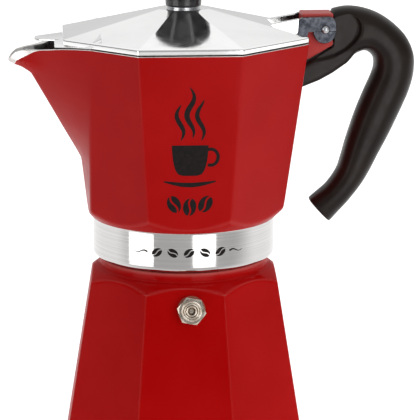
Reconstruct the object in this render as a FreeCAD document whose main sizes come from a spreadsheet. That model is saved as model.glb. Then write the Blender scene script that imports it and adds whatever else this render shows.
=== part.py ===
"""Six-cup stove-top moka pot, built as separate pieces in millimetres.

The origin is the centre of the flat base, +Z is up, +X points at the handle and -X at the spout.
The safety valve is on the -Y side.  Every sketch is tied to the sheet "dims" through Size formulas.
"""
import FreeCAD
import Part
import math
import os
import Sketcher

Vector = FreeCAD.Vector
Rotation = FreeCAD.Rotation
Placement = FreeCAD.Placement

SIDES = 8
CORNER = 1 / math.cos(math.pi / SIDES)      # an octagon's corner radius over its flat radius

DIMENSIONS = [
    # boiler, the lower vessel
    ("boiler_base_across", 103.8),          # across the flats at the table
    ("boiler_shoulder_across", 76.3),       # across the flats at the shoulder's corners
    ("boiler_shoulder_level", 86.0),
    ("boiler_wall", 3.0),
    ("boiler_floor", 3.6),
    ("boiler_turn", -2.15),                 # degrees that the boiler is screwed past the upper half
    ("shoulder_rise", 2.6),
    ("shoulder_inset", 3.4),
    ("neck_radius", 34.5),
    ("neck_gap", 0.7),                      # between the neck's collar and the skirt above it
    ("mouth_radius", 28.6),
    ("edge_round", 1.2),
    # screw joint between the two halves
    ("thread_pitch", 3.0),
    ("thread_height", 0.75),
    ("thread_play", 0.2),                   # radial room between the two crests
    ("skirt_radius", 37.5),
    ("skirt_wall", 3.4),
    ("skirt_level", 94.9),
    ("skirt_height", 16.15),
    # collector, the upper vessel
    ("foot_across", 79.4),                  # across the flats at the foot of the octagon
    ("foot_level", 114.9),
    ("rim_across", 98.0),
    ("rim_level", 184.3),
    ("collector_wall", 2.6),
    ("collector_floor_level", 120.0),
    ("plate_level", 112.2),                 # underside that the filter plate bears on
    ("dish_rise", 4.0),
    # spout
    ("spout_overhang", 23.6),               # past the rim's flats, like the overhangs below
    ("spout_foot_drop", 48.9),              # below the rim
    ("spout_bend_drop", 17.0),
    ("spout_bend_overhang", 12.2),
    ("spout_spread", 0.23),                 # share of the side facets that the spout takes at the rim
    # seal and filter
    ("gasket_outer_radius", 32.6),
    ("gasket_inner_radius", 28.4),
    ("gasket_thickness", 3.4),
    ("plate_thickness", 0.9),
    ("plate_hole_radius", 0.55),
    # funnel
    ("flange_thickness", 0.9),
    ("basket_play", 0.6),                   # radial room between the basket and the mouth
    ("basket_wall", 0.8),
    ("basket_depth", 25.0),
    ("tube_radius", 4.6),
    ("tube_wall", 0.7),
    ("tube_foot_gap", 6.0),                 # above the boiler's floor
    # riser
    ("riser_foot_radius", 9.0),
    ("riser_top_radius", 6.4),
    ("riser_bore", 3.2),
    ("riser_top_drop", 13.8),
    # lid and hinge
    ("lid_thickness", 1.6),
    ("lid_edge_height", 2.1),
    ("lid_gap", 0.35),                      # between the rim and the lid's edge
    ("lid_rise", 9.7),
    ("lid_flat_across", 20.0),
    ("beak_overhang", 11.6),
    ("hinge_overhang", 7.9),
    ("hinge_rise", 3.9),                    # above the rim
    ("pin_radius", 1.6),
    ("lug_half_width", 6.0),
    ("lug_overhang", 11.4),
    ("lug_rise", 10.0),
    ("ear_thickness", 2.6),
    ("ear_gap", 0.5),
    ("hinge_clearance", 1.0),
    # knob
    ("knob_foot_radius", 7.3),
    ("knob_radius", 12.0),
    ("knob_height", 20.0),
    ("washer_radius", 6.6),
    ("washer_thickness", 0.7),
    ("screw_radius", 2.0),
    # handle
    ("handle_width", 19.0),
    ("handle_gap", 0.3),
    # safety valve
    ("valve_level", 80.4),
    ("valve_offset", 2.3),                  # sideways from the middle of the flat
    ("valve_across", 10.2),
    ("valve_bore", 3.3),
    ("valve_neck_radius", 4.6),
    ("valve_stem_radius", 1.4),
    ("valve_travel", 1.6),
    ("spring_wire", 0.5),
]


class Size:
    """A length that carries its sheet formula along with its number."""

    def __init__(self, value, formula):
        self.value = value
        self.formula = formula

    def __add__(self, other):
        other = as_size(other)
        return Size(self.value + other.value, f"({self.formula} + {other.formula})")

    def __sub__(self, other):
        other = as_size(other)
        return Size(self.value - other.value, f"({self.formula} - {other.formula})")

    def __mul__(self, other):
        other = as_size(other)
        return Size(self.value * other.value, f"({self.formula} * {other.formula})")

    def __truediv__(self, other):
        other = as_size(other)
        return Size(self.value / other.value, f"({self.formula} / {other.formula})")

    def __neg__(self):
        return as_size(0) - self

    def __radd__(self, other):
        return as_size(other) + self

    def __rsub__(self, other):
        return as_size(other) - self


def as_size(number):
    """A plain number as a Size."""
    if isinstance(number, Size):
        return number
    return Size(float(number), f"({float(number):.6f})")


class Dimensions:
    """The sheet's cells as Sizes, one attribute for each alias."""

    def __init__(self, document):
        sheet = document.addObject("Spreadsheet::Sheet", "dims")
        for row, (alias, number) in enumerate(DIMENSIONS, start=1):
            sheet.set(f"A{row}", alias)
            sheet.set(f"B{row}", str(number))
            sheet.setAlias(f"B{row}", alias)
            setattr(self, alias, Size(number, f"dims.{alias}"))


DOC = FreeCAD.newDocument("moka_pot")
d = Dimensions(DOC)
DOC.recompute()
NODES = []


# ---------------------------------------------------------------- helpers

def new_body(name):
    """An empty body, whose label is the node's name."""
    body = DOC.addObject("PartDesign::Body", name)
    body.Label = name
    NODES.append(body)
    return body


def origin_plane(body, role):
    for feature in body.Origin.OriginFeatures:
        if feature.Role == role:
            return feature
    raise ValueError(role)


def attach(sketch, body, role, offset=None, tilt=0.0):
    """Put a sketch on one of its body's origin planes, moved by three Sizes and tilted about its own X."""
    sketch.AttachmentSupport = (origin_plane(body, role), [""])
    sketch.MapMode = "FlatFace"
    if offset is None:
        return
    base = Vector(*[as_size(part).value for part in offset])
    sketch.AttachmentOffset = Placement(base, Rotation(Vector(1, 0, 0), tilt))
    for letter, part in zip("xyz", offset):
        sketch.setExpression(f"AttachmentOffset.Base.{letter}", as_size(part).formula)


def tie(sketch, kind, geometry, point, size):
    """Hold one coordinate of a sketch point at a Size measured from the origin."""
    if size.value == 0:
        axis = -2 if kind == "DistanceX" else -1
        sketch.addConstraint(Sketcher.Constraint("PointOnObject", geometry, point, axis))
        return
    index = sketch.addConstraint(Sketcher.Constraint(kind, -1, 1, geometry, point, size.value))
    sketch.setExpression(f"Constraints[{index}]", size.formula)


def outline(body, name, role, points, offset=None, tilt=0.0):
    """A closed outline of straight lines through points given as pairs of Sizes."""
    sketch = body.newObject("Sketcher::SketchObject", name)
    attach(sketch, body, role, offset, tilt)
    points = [(as_size(x), as_size(y)) for x, y in points]
    ends = [Vector(x.value, y.value, 0) for x, y in points]
    count = len(points)
    for index in range(count):
        sketch.addGeometry(Part.LineSegment(ends[index], ends[(index + 1) % count]))
    for index in range(count):
        sketch.addConstraint(Sketcher.Constraint("Coincident", index, 2, (index + 1) % count, 1))
    for index, (x, y) in enumerate(points):
        tie(sketch, "DistanceX", index, 1, x)
        tie(sketch, "DistanceY", index, 1, y)
    return sketch


def circle(body, name, role, x, y, radius, offset=None, tilt=0.0):
    """A circle whose centre and radius are Sizes."""
    sketch = body.newObject("Sketcher::SketchObject", name)
    attach(sketch, body, role, offset, tilt)
    x, y, radius = as_size(x), as_size(y), as_size(radius)
    sketch.addGeometry(Part.Circle(Vector(x.value, y.value, 0), Vector(0, 0, 1), radius.value))
    tie(sketch, "DistanceX", 0, 3, x)
    tie(sketch, "DistanceY", 0, 3, y)
    index = sketch.addConstraint(Sketcher.Constraint("Radius", 0, radius.value))
    sketch.setExpression(f"Constraints[{index}]", radius.formula)
    return sketch


def spun(body, name, points, kind="PartDesign::Revolution"):
    """Turn an XZ outline about the Z axis, as a solid or as a groove."""
    sketch = outline(body, name + "_outline", "XZ_Plane", points)
    feature = body.newObject(kind, name)
    feature.Profile = sketch
    feature.ReferenceAxis = (sketch, ["V_Axis"])
    feature.Angle = 360
    return feature


def groove(body, name, points):
    return spun(body, name, points, "PartDesign::Groove")


def extruded(body, name, sketch, length, kind="PartDesign::Pad", both_ways=True):
    """Pad or pocket a sketch by a Size, to both sides of its plane or along one."""
    feature = body.newObject(kind, name)
    feature.Profile = sketch
    feature.Length = as_size(length).value
    feature.setExpression("Length", as_size(length).formula)
    if both_ways:
        feature.Midplane = True
    return feature


def pocket(body, name, sketch, length, both_ways=True):
    return extruded(body, name, sketch, length, "PartDesign::Pocket", both_ways)


def polar(body, feature, count, name):
    """Repeat a feature around the Z axis."""
    pattern = body.newObject("PartDesign::PolarPattern", name)
    pattern.Originals = [feature]
    pattern.Axis = (feature.Profile[0], ["V_Axis"])
    pattern.Angle = 360
    pattern.Occurrences = count
    body.Tip = pattern
    return pattern


def loft(body, name, sketches, kind="PartDesign::AdditiveLoft"):
    """A loft with straight rulings through two or more sketches."""
    feature = body.newObject(kind, name)
    feature.Profile = sketches[0]
    feature.Sections = sketches[1:]
    feature.Ruled = True
    return feature


def octagon(half_across):
    """Corners of an octagon that has flats towards X and Y."""
    corners = []
    for index in range(SIDES):
        angle = (index + 0.5) * 2 * math.pi / SIDES
        corners.append((half_across * (CORNER * math.cos(angle)), half_across * (CORNER * math.sin(angle))))
    return corners


def flats(body, name, low, high, reach):
    """Mill the eight flats through (radius, level) points low and high, out to a reach."""
    sketch = outline(body, name + "_outline", "XZ_Plane",
                     [low, (reach, low[1]), (reach, high[1]), high])
    cut = pocket(body, name + "_cut", sketch, reach * 2.2)
    return polar(body, cut, SIDES, name)


def thread(body, name, radius, crest, level, length):
    """A helical ridge between a root radius and a crest radius, from a level up."""
    half = d.thread_pitch * 0.3
    sketch = outline(body, name + "_outline", "XZ_Plane",
                     [(radius, level), (crest, level + half * 0.6), (crest, level + half * 0.9),
                      (radius, level + half * 1.6)])
    helix = body.newObject("PartDesign::AdditiveHelix", name)
    helix.Profile = sketch
    helix.ReferenceAxis = (sketch, ["V_Axis"])
    helix.Mode = "pitch-height-angle"
    helix.Pitch = d.thread_pitch.value
    helix.setExpression("Pitch", d.thread_pitch.formula)
    helix.Height = length.value
    helix.setExpression("Height", length.formula)
    return helix


def fillet(body, name, radius, wanted):
    """Round the edges of the body's tip for which wanted(edge) is true."""
    DOC.recompute()
    tip = body.Tip
    names = [f"Edge{index}" for index, edge in enumerate(tip.Shape.Edges, start=1) if wanted(edge)]
    if not names:
        raise ValueError(f"{name}: no edge found")
    feature = body.newObject("PartDesign::Fillet", name)
    feature.Base = (tip, names)
    feature.Radius = as_size(radius).value
    feature.setExpression("Radius", as_size(radius).formula)
    return feature


def ends_of(edge):
    return [vertex.Point for vertex in edge.Vertexes]


# ---------------------------------------------------------------- shared levels and radii

base_half = d.boiler_base_across / 2
shoulder_half = d.boiler_shoulder_across / 2
boiler_slope = (base_half - shoulder_half) / d.boiler_shoulder_level
shoulder_corner = shoulder_half * CORNER
shoulder_top = d.boiler_shoulder_level + d.shoulder_rise
collar_top = d.skirt_level - d.neck_gap

foot_half = d.foot_across / 2
rim_half = d.rim_across / 2
spout_reach = rim_half + d.spout_overhang
spout_foot_level = d.rim_level - d.spout_foot_drop
spout_bend_level = d.rim_level - d.spout_bend_drop
spout_bend_reach = rim_half + d.spout_bend_overhang
riser_top_level = d.rim_level - d.riser_top_drop
beak_reach = rim_half + d.beak_overhang
hinge_reach = rim_half + d.hinge_overhang
hinge_level = d.rim_level + d.hinge_rise
lug_end = rim_half + d.lug_overhang
lug_top = d.rim_level + d.lug_rise
collector_slope = (rim_half - foot_half) / (d.rim_level - d.foot_level)
skirt_bore = d.skirt_radius - d.skirt_wall
skirt_top = d.skirt_level + d.skirt_height
skirt_crest = skirt_bore - d.thread_height
boiler_crest = skirt_crest - d.thread_play
boiler_root = boiler_crest - d.thread_height

gasket_top = d.plate_level - d.plate_thickness
gasket_foot = gasket_top - d.gasket_thickness
boiler_rim = gasket_foot - d.flange_thickness

lid_foot = d.rim_level + d.lid_gap
lid_edge_top = lid_foot + d.lid_edge_height
lid_top = lid_edge_top + d.lid_rise
lid_slope = d.lid_rise / (rim_half - d.lid_flat_across / 2)
ear_inner = d.lug_half_width + d.ear_gap
ear_outer = ear_inner + d.ear_thickness

boiler_tilt = math.degrees(math.atan(boiler_slope.value))


def collector_half(level):
    """Flat radius of the collector's outside at a level."""
    return foot_half + (level - d.foot_level) * collector_slope


def boiler_half(level):
    """Flat radius of the boiler's outside at a level."""
    return base_half - level * boiler_slope


# ---------------------------------------------------------------- boiler and its valve

def make_boiler():
    body = new_body("boiler")
    body.Placement = Placement(Vector(0, 0, 0), Rotation(Vector(0, 0, 1), d.boiler_turn.value))
    body.setExpression("Placement.Rotation.Angle", d.boiler_turn.formula)
    blank = base_half * CORNER + 2
    cone_drop = (blank - shoulder_corner) * d.shoulder_rise / d.shoulder_inset
    spun(body, "boiler_blank", [
        (0, 0), (blank, 0), (blank, d.boiler_shoulder_level - cone_drop),
        (shoulder_corner - d.shoulder_inset, shoulder_top),
        (shoulder_corner - d.shoulder_inset - 0.9, shoulder_top + 0.5),
        (d.neck_radius + 0.8, shoulder_top + 0.9),
        (d.neck_radius, shoulder_top + 2), (d.neck_radius, collar_top),
        (boiler_root, collar_top), (boiler_root, boiler_rim), (0, boiler_rim)])
    flats(body, "boiler_flats",
          (base_half + boiler_slope, as_size(-1)),
          (boiler_half(d.boiler_shoulder_level + 6), d.boiler_shoulder_level + 6), blank + 2)
    corner_low = base_half.value * CORNER
    corner_high = shoulder_corner.value

    def slanted(edge):
        if len(edge.Vertexes) != 2:
            return False
        low, high = sorted(ends_of(edge), key=lambda point: point.z)
        return (abs(math.hypot(low.x, low.y) - corner_low) < 0.05
                and abs(math.hypot(high.x, high.y) - corner_high) < 0.6 and high.z > 60)
    fillet(body, "boiler_edges", d.edge_round, slanted)
    groove(body, "boiler_cavity", [
        (0, d.boiler_floor), (base_half - d.boiler_wall - 4, d.boiler_floor),
        (base_half - d.boiler_wall - 1, d.boiler_floor + 4),
        (shoulder_half - d.boiler_wall, d.boiler_shoulder_level - 5),
        (d.mouth_radius, shoulder_top), (d.mouth_radius, boiler_rim + 1), (0, boiler_rim + 1)])
    hole = circle(body, "valve_hole_outline", "XZ_Plane", d.valve_offset, 0, d.valve_neck_radius,
                  (0, d.valve_level, boiler_half(d.valve_level)), -boiler_tilt)
    pocket(body, "valve_hole", hole, 12, both_ways=True)
    thread(body, "boiler_thread", boiler_root - 0.05, boiler_crest, collar_top + 2,
           boiler_rim - collar_top - 5)
    return body


def on_valve_axis(body):
    """Place a piece that is modelled along +Z on the valve's axis, which is square to the boiler's flat."""
    turn = Rotation(Vector(0, 0, 1), d.boiler_turn.value)
    tilt = math.radians(boiler_tilt)
    outward = Vector(0, -math.cos(tilt), math.sin(tilt))
    seat = Vector(d.valve_offset.value, -boiler_half(d.valve_level).value, d.valve_level.value)
    body.Placement = Placement(turn.multVec(seat), turn.multiply(Rotation(Vector(0, 0, 1), outward)))


def make_valve():
    """Screwed-in safety valve: a hex body, its seal, a sprung plunger and a cage behind the wall."""
    wall_back = -(d.boiler_wall + 0.4)
    seal_thickness = as_size(0.8)
    hex_top = seal_thickness + 4.4
    bore = d.valve_bore
    cage_back = wall_back - 7

    body = new_body("valve_body")
    hex_half = d.valve_across / 2
    corners = []
    for index in range(6):
        angle = math.radians(60 * index - 10)
        reach = 1 / math.cos(math.radians(30))
        corners.append((hex_half * (reach * math.cos(angle)), hex_half * (reach * math.sin(angle))))
    extruded(body, "valve_hex", outline(body, "valve_hex_outline", "XY_Plane", corners,
                                        (0, 0, seal_thickness)), 4.4, both_ways=False)
    spun(body, "valve_neck", [(0, cage_back), (d.valve_neck_radius - 0.6, cage_back),
                              (d.valve_neck_radius - 0.6, wall_back), (d.valve_neck_radius, wall_back),
                              (d.valve_neck_radius, seal_thickness + 1), (0, seal_thickness + 1)])
    groove(body, "valve_chamfer", [(hex_half * 0.97, hex_top + 0.1), (hex_half * 1.3, hex_top + 0.1),
                                   (hex_half * 1.3, hex_top - 1.2)])
    groove(body, "valve_ring", [(hex_half * 0.66, hex_top + 0.1), (hex_half * 0.8, hex_top + 0.1),
                                (hex_half * 0.8, hex_top - 0.5), (hex_half * 0.66, hex_top - 0.5)])
    stem_room = d.valve_stem_radius + 0.3
    groove(body, "valve_bore_front", [(0, seal_thickness), (stem_room, seal_thickness),
                                      (stem_room, hex_top - 0.8), (stem_room + 0.9, hex_top + 0.1),
                                      (0, hex_top + 0.1)])
    groove(body, "valve_bore_back", [(0, cage_back - 0.1), (bore, cage_back - 0.1),
                                     (bore, seal_thickness), (0, seal_thickness)])

    seal = new_body("valve_seal")
    spun(seal, "valve_seal_ring", [(d.valve_neck_radius, 0), (d.valve_neck_radius + 1.0, 0),
                                   (d.valve_neck_radius + 1.0, seal_thickness),
                                   (d.valve_neck_radius, seal_thickness)])

    retainer = new_body("valve_retainer")
    spun(retainer, "valve_retainer_disc", [
        (1.7, cage_back), (bore, cage_back), (bore, cage_back + 1), (1.7, cage_back + 1)])

    plunger = new_body("valve_plunger")
    head_level = cage_back + 1.2
    spun(plunger, "valve_plunger_turned", [
        (0, head_level), (bore - 0.35, head_level), (bore - 0.35, head_level + 1.4),
        (d.valve_stem_radius, head_level + 2.2), (d.valve_stem_radius, hex_top - 1.5),
        (d.valve_stem_radius - 0.5, hex_top - 1.0), (0, hex_top - 1.0)])

    spring = new_body("valve_spring")
    coil = (d.valve_stem_radius + bore) / 2
    spring_foot = head_level + 2.4
    wire = d.spring_wire / 2
    profile = circle(spring, "valve_spring_wire", "XZ_Plane", coil, spring_foot + wire, wire)
    helix = spring.newObject("PartDesign::AdditiveHelix", "valve_spring_coil")
    helix.Profile = profile
    helix.ReferenceAxis = (profile, ["V_Axis"])
    helix.Mode = "height-turns-angle"
    length = seal_thickness - spring_foot - d.spring_wire - 0.1
    helix.Height = length.value
    helix.setExpression("Height", length.formula)
    helix.Turns = 5

    for piece in (body, seal, retainer, plunger, spring):
        on_valve_axis(piece)


# ---------------------------------------------------------------- funnel

def make_funnel():
    flange_foot = boiler_rim
    basket_radius = d.mouth_radius - d.basket_play
    inner = basket_radius - d.basket_wall
    floor = flange_foot + d.flange_thickness - d.basket_depth
    cone_foot = floor - 7
    tube_inner = d.tube_radius - d.tube_wall

    body = new_body("funnel_basket")
    spun(body, "basket_shell", [
        (d.tube_radius, cone_foot), (d.tube_radius + d.basket_wall, cone_foot),
        (basket_radius - 3, floor - 1), (basket_radius, floor + 2),
        (basket_radius, flange_foot), (d.gasket_outer_radius - 0.8, flange_foot),
        (d.gasket_outer_radius - 0.8, flange_foot + d.flange_thickness), (inner, flange_foot + d.flange_thickness),
        (inner, floor + 2), (inner - 2.6, floor), (d.tube_radius, cone_foot + d.basket_wall)])

    strainer = new_body("funnel_strainer")
    disc_radius = inner - 0.25
    disc_foot = floor + 2
    extruded(strainer, "strainer_disc", circle(strainer, "strainer_outline", "XY_Plane", 0, 0, disc_radius,
                                               (0, 0, disc_foot)), 0.8, both_ways=False)
    perforate(strainer, disc_foot, 0.8, disc_radius, 0.8, 5, 4.4)

    tube = new_body("funnel_tube")
    foot = d.boiler_floor + d.tube_foot_gap
    spun(tube, "tube_wall", [(tube_inner, foot), (d.tube_radius, foot),
                             (d.tube_radius, cone_foot + 1), (tube_inner, cone_foot + 1)])


def perforate(body, level, thickness, radius, hole, rings, pitch):
    """Drill rings of holes through a disc that lies at a level."""
    thickness = as_size(thickness)
    pitch = as_size(pitch)
    for ring in range(rings):
        reach = pitch * (ring + 1)
        if reach.value + 2 * as_size(hole).value > as_size(radius).value:
            break
        sketch = body.newObject("Sketcher::SketchObject", f"{body.Name}_ring_{ring}")
        attach(sketch, body, "XY_Plane", (0, 0, level + thickness / 2))
        sketch.addGeometry(Part.Circle(Vector(reach.value, 0, 0), Vector(0, 0, 1), as_size(hole).value))
        tie(sketch, "DistanceX", 0, 3, reach)
        tie(sketch, "DistanceY", 0, 3, as_size(0))
        index = sketch.addConstraint(Sketcher.Constraint("Radius", 0, as_size(hole).value))
        sketch.setExpression(f"Constraints[{index}]", as_size(hole).formula)
        drill = pocket(body, f"{body.Name}_hole_{ring}", sketch, thickness * 3)
        pattern = body.newObject("PartDesign::PolarPattern", f"{body.Name}_holes_{ring}")
        pattern.Originals = [drill]
        pattern.Axis = (sketch, ["N_Axis"])
        pattern.Angle = 360
        pattern.Occurrences = SIDES * (ring + 1)
        body.Tip = pattern


# ---------------------------------------------------------------- seal and filter plate

def make_seal():
    gasket = new_body("gasket")
    spun(gasket, "gasket_ring", [
        (d.gasket_inner_radius, gasket_foot), (d.gasket_outer_radius, gasket_foot),
        (d.gasket_outer_radius, gasket_top), (d.gasket_inner_radius, gasket_top)])
    plate = new_body("filter_plate")
    plate_radius = d.gasket_outer_radius - 1.6
    extruded(plate, "filter_disc", circle(plate, "filter_outline", "XY_Plane", 0, 0, plate_radius,
                                          (0, 0, gasket_top)), d.plate_thickness, both_ways=False)
    perforate(plate, gasket_top, d.plate_thickness, d.gasket_inner_radius, d.plate_hole_radius, 6, 4.1)


# ---------------------------------------------------------------- collector with its spout, lug and riser

def collector_plan(body, name, level, reach, inset):
    """Plan of the collector at a level: an octagon whose -X corners give way to the spout's two sides."""
    half = collector_half(level) - inset
    corner = half * math.tan(math.pi / SIDES)
    spread_start = d.foot_level - 8
    share = 1 - d.spout_spread * (level - spread_start) / (d.rim_level - spread_start)
    crease_x = half * share
    crease_y = half * math.sqrt(2) - crease_x
    tip = reach - inset * 1.25
    points = [(half, corner), (corner, half), (-corner, half), (-crease_x, crease_y), (-tip, 0),
              (-crease_x, -crease_y), (-corner, -half), (corner, -half), (half, -corner)]
    return outline(body, name, "XY_Plane", points, (0, 0, level))


def collector_loft(body, name, low, high, inset, kind):
    """The collector's outside or chamber, from a low level to a high one, with the spout's ridge."""
    flare_level = spout_bend_level + 8.7
    stations = [
        (low, collector_half(low)),
        (spout_foot_level + inset, collector_half(spout_foot_level + inset)),
        (spout_bend_level, spout_bend_reach),
        (flare_level, spout_reach - 1.0),
        (high, spout_reach + 0.8),
    ]
    plans = []
    for index, (level, reach) in enumerate(stations):
        plans.append(collector_plan(body, f"{name}_plan_{index}", level, reach, inset))
    return loft(body, name, plans, kind)


def make_collector():
    body = new_body("collector")
    blank = rim_half * CORNER + 2
    collector_loft(body, "collector_outside", d.foot_level - 8, d.rim_level, as_size(0),
                   "PartDesign::AdditiveLoft")
    spun(body, "skirt", [
        (0, d.skirt_level), (d.skirt_radius - 2.2, d.skirt_level),
        (d.skirt_radius - 0.7, d.skirt_level + 0.7), (d.skirt_radius, d.skirt_level + 2.2),
        (d.skirt_radius, skirt_top), (0, skirt_top)])
    groove(body, "skirt_trim", [
        (d.skirt_radius, d.foot_level - 9), (blank, d.foot_level - 9),
        (blank, skirt_top + (blank - d.skirt_radius)), (d.skirt_radius, skirt_top)])
    groove(body, "skirt_inside", [
        (0, d.skirt_level - 1), (skirt_bore, d.skirt_level - 1), (skirt_bore, d.plate_level),
        (d.gasket_inner_radius - 1.6, d.plate_level), (8, d.plate_level + d.dish_rise),
        (0, d.plate_level + d.dish_rise)])
    collector_loft(body, "chamber", d.collector_floor_level, d.rim_level + 2, d.collector_wall,
                   "PartDesign::SubtractiveLoft")
    lip_top = d.rim_level + 3
    lip = outline(body, "lip_outline", "XZ_Plane", [
        (-(rim_half - 11), d.rim_level), (-(rim_half + 1), d.rim_level - 1.1),
        (-(rim_half + 11.5), d.rim_level - 3.2), (-(rim_half + 17.5), d.rim_level - 5.1), (-(spout_reach - 1), d.rim_level - 8.6),
        (-(spout_reach + 4), d.rim_level - 11.5), (-(spout_reach + 4), lip_top), (-(rim_half - 11), lip_top)])
    pocket(body, "lip", lip, rim_half * 2)

    lug = outline(body, "lug_outline", "XZ_Plane", [
        (rim_half - 1.4, lug_top), (lug_end, lug_top), (lug_end, d.rim_level - 2.9),
        (rim_half + 2.5, d.rim_level - 8.1), (rim_half - 3, d.rim_level - 10.3), (rim_half - 3, d.rim_level),
        (rim_half - 1.4, d.rim_level)])
    extruded(body, "lug", lug, d.lug_half_width * 2)
    pocket(body, "pin_hole", circle(body, "pin_hole_outline", "XZ_Plane", hinge_reach, hinge_level,
                                    d.pin_radius), d.lug_half_width * 3)
    hole = circle(body, "screw_hole_outline", "YZ_Plane", 0, 0, d.screw_radius,
                  (0, screw_seat_level, screw_seat_reach), SCREW_TILT)
    pocket(body, "screw_hole", hole, SCREW_GRIP, both_ways=False)
    pocket(body, "riser_hole", circle(body, "riser_hole_outline", "XY_Plane", 0, 0, riser_spigot,
                                      (0, 0, d.collector_floor_level)), 20)
    thread(body, "skirt_thread", skirt_bore + 0.05, skirt_crest, d.skirt_level + 2.5,
           boiler_rim - d.skirt_level - 6)
    return body


riser_spigot = as_size(5.2)


def make_riser():
    body = new_body("riser_column")
    foot = d.plate_level + d.dish_rise
    spun(body, "riser_turned", [
        (d.riser_bore, foot), (riser_spigot, foot), (riser_spigot, d.collector_floor_level),
        (d.riser_foot_radius, d.collector_floor_level), (d.riser_foot_radius - 0.6, d.collector_floor_level + 3),
        (d.riser_top_radius, riser_top_level - 4), (d.riser_top_radius - 1.6, riser_top_level - 1),
        (0, riser_top_level), (0, riser_top_level - 2.4), (d.riser_bore, riser_top_level - 5)])
    slot = outline(body, "riser_slot_outline", "XZ_Plane", [
        (-2.2, riser_top_level - 12), (2.2, riser_top_level - 12),
        (2.2, riser_top_level - 6), (-2.2, riser_top_level - 6)])
    pocket(body, "riser_slot", slot, 30)


# ---------------------------------------------------------------- lid, hinge and knob

def beak_section(body, name, reach, half_width, ridge, edge):
    """A roof-shaped section of the lid's beak, square to X."""
    thickness = d.lid_thickness
    return outline(body, name, "YZ_Plane", [
        (-half_width, edge), (0, ridge), (half_width, edge),
        (half_width, edge - thickness), (0, ridge - thickness), (-half_width, edge - thickness)],
        (0, 0, -reach))


def make_lid():
    body = new_body("lid")
    blank = rim_half * CORNER + 2
    apex = lid_edge_top + rim_half * lid_slope
    spun(body, "lid_blank", [(0, lid_foot), (blank, lid_foot), (blank, lid_top), (0, lid_top)])
    flats(body, "lid_sides", (rim_half, lid_foot - 1), (rim_half, lid_edge_top), blank + 2)
    slope_reach = blank + 4
    flats(body, "lid_roof", (slope_reach, apex - slope_reach * lid_slope),
          (d.lid_flat_across / 2 - 4, apex - (d.lid_flat_across / 2 - 4) * lid_slope), slope_reach + 6)
    inner_half = rim_half - 1.8
    inner_edge = lid_edge_top - d.lid_thickness
    inner_top = lid_top - d.lid_thickness
    levels = [(lid_foot - 1, inner_half), (inner_edge, inner_half),
              (inner_top, d.lid_flat_across / 2 - 0.5)]
    sketches = []
    for index, (level, half) in enumerate(levels):
        sketches.append(outline(body, f"lid_hollow_outline_{index}", "XY_Plane", octagon(half), (0, 0, level)))
    loft(body, "lid_hollow", sketches, "PartDesign::SubtractiveLoft")

    edge = lid_edge_top - 0.3
    loft(body, "beak", [
        beak_section(body, "beak_root", rim_half - 13, as_size(28.0), edge + 2.2, edge),
        beak_section(body, "beak_middle", rim_half + 2, as_size(15.0), edge - 0.2, edge - 1.5),
        beak_section(body, "beak_end", beak_reach, as_size(3.4), edge - 1.4, edge - 2.2)])

    notch_edge = hinge_reach - 11.7
    notch = outline(body, "notch_outline", "XY_Plane", [
        (notch_edge, -ear_inner), (rim_half + 4, -ear_inner), (rim_half + 4, ear_inner), (notch_edge, ear_inner)],
        (0, 0, lid_foot))
    pocket(body, "notch", notch, 40)

    ear_top = lug_top - 1.2
    ear = outline(body, "ear_outline", "XZ_Plane", [
        (rim_half - 14.5, lid_top - 6.9), (rim_half - 2.5, ear_top - 0.4), (rim_half - 0.8, ear_top),
        (hinge_reach + 3.2, ear_top + 0.2),
        (hinge_reach + 4.1, hinge_level + 2.4),
        (hinge_reach + 4.4, hinge_level - 1), (hinge_reach + 3.2, hinge_level - 4.2),
        (hinge_reach, hinge_level - 5.9), (hinge_reach - 3.2, hinge_level - 4.6),
        (hinge_reach - 4.7, hinge_level - 1.2), (hinge_reach - 6.6, lid_foot + 0.6),
        (rim_half - 3.2, lid_foot + 0.3), (rim_half - 4, lid_edge_top - 0.8)])
    extruded(body, "ears", ear, ear_outer * 2)
    gap = outline(body, "ear_gap_outline", "XZ_Plane", [
        (notch_edge, lid_foot - 10), (hinge_reach + 12, lid_foot - 10),
        (hinge_reach + 12, ear_top + 10), (notch_edge, ear_top + 10)])
    pocket(body, "ear_gap", gap, ear_inner * 2)
    bore = circle(body, "ear_bore_outline", "XZ_Plane", hinge_reach, hinge_level, d.pin_radius + 0.08)
    pocket(body, "ear_bore", bore, ear_outer * 3)
    seat = circle(body, "knob_hole_outline", "XY_Plane", 0, 0, d.screw_radius, (0, 0, lid_top))
    pocket(body, "knob_hole", seat, 20)
    return body


def make_hinge_pin():
    body = new_body("hinge_pin")
    head = ear_outer + 0.05
    half = head + 0.55
    profile = outline(body, "hinge_pin_outline", "XZ_Plane", [
        (0, -half), (d.pin_radius + 0.3, -half), (d.pin_radius + 0.9, -head), (d.pin_radius, -head),
        (d.pin_radius, head), (d.pin_radius + 0.9, head), (d.pin_radius + 0.3, half), (0, half)])
    turned = body.newObject("PartDesign::Revolution", "hinge_pin_turned")
    turned.Profile = profile
    turned.ReferenceAxis = (profile, ["V_Axis"])
    turned.Angle = 360
    body.Placement = Placement(Vector(hinge_reach.value, 0, hinge_level.value),
                               Rotation(Vector(1, 0, 0), 90))
    body.setExpression("Placement.Base.x", hinge_reach.formula)
    body.setExpression("Placement.Base.z", hinge_level.formula)


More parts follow.
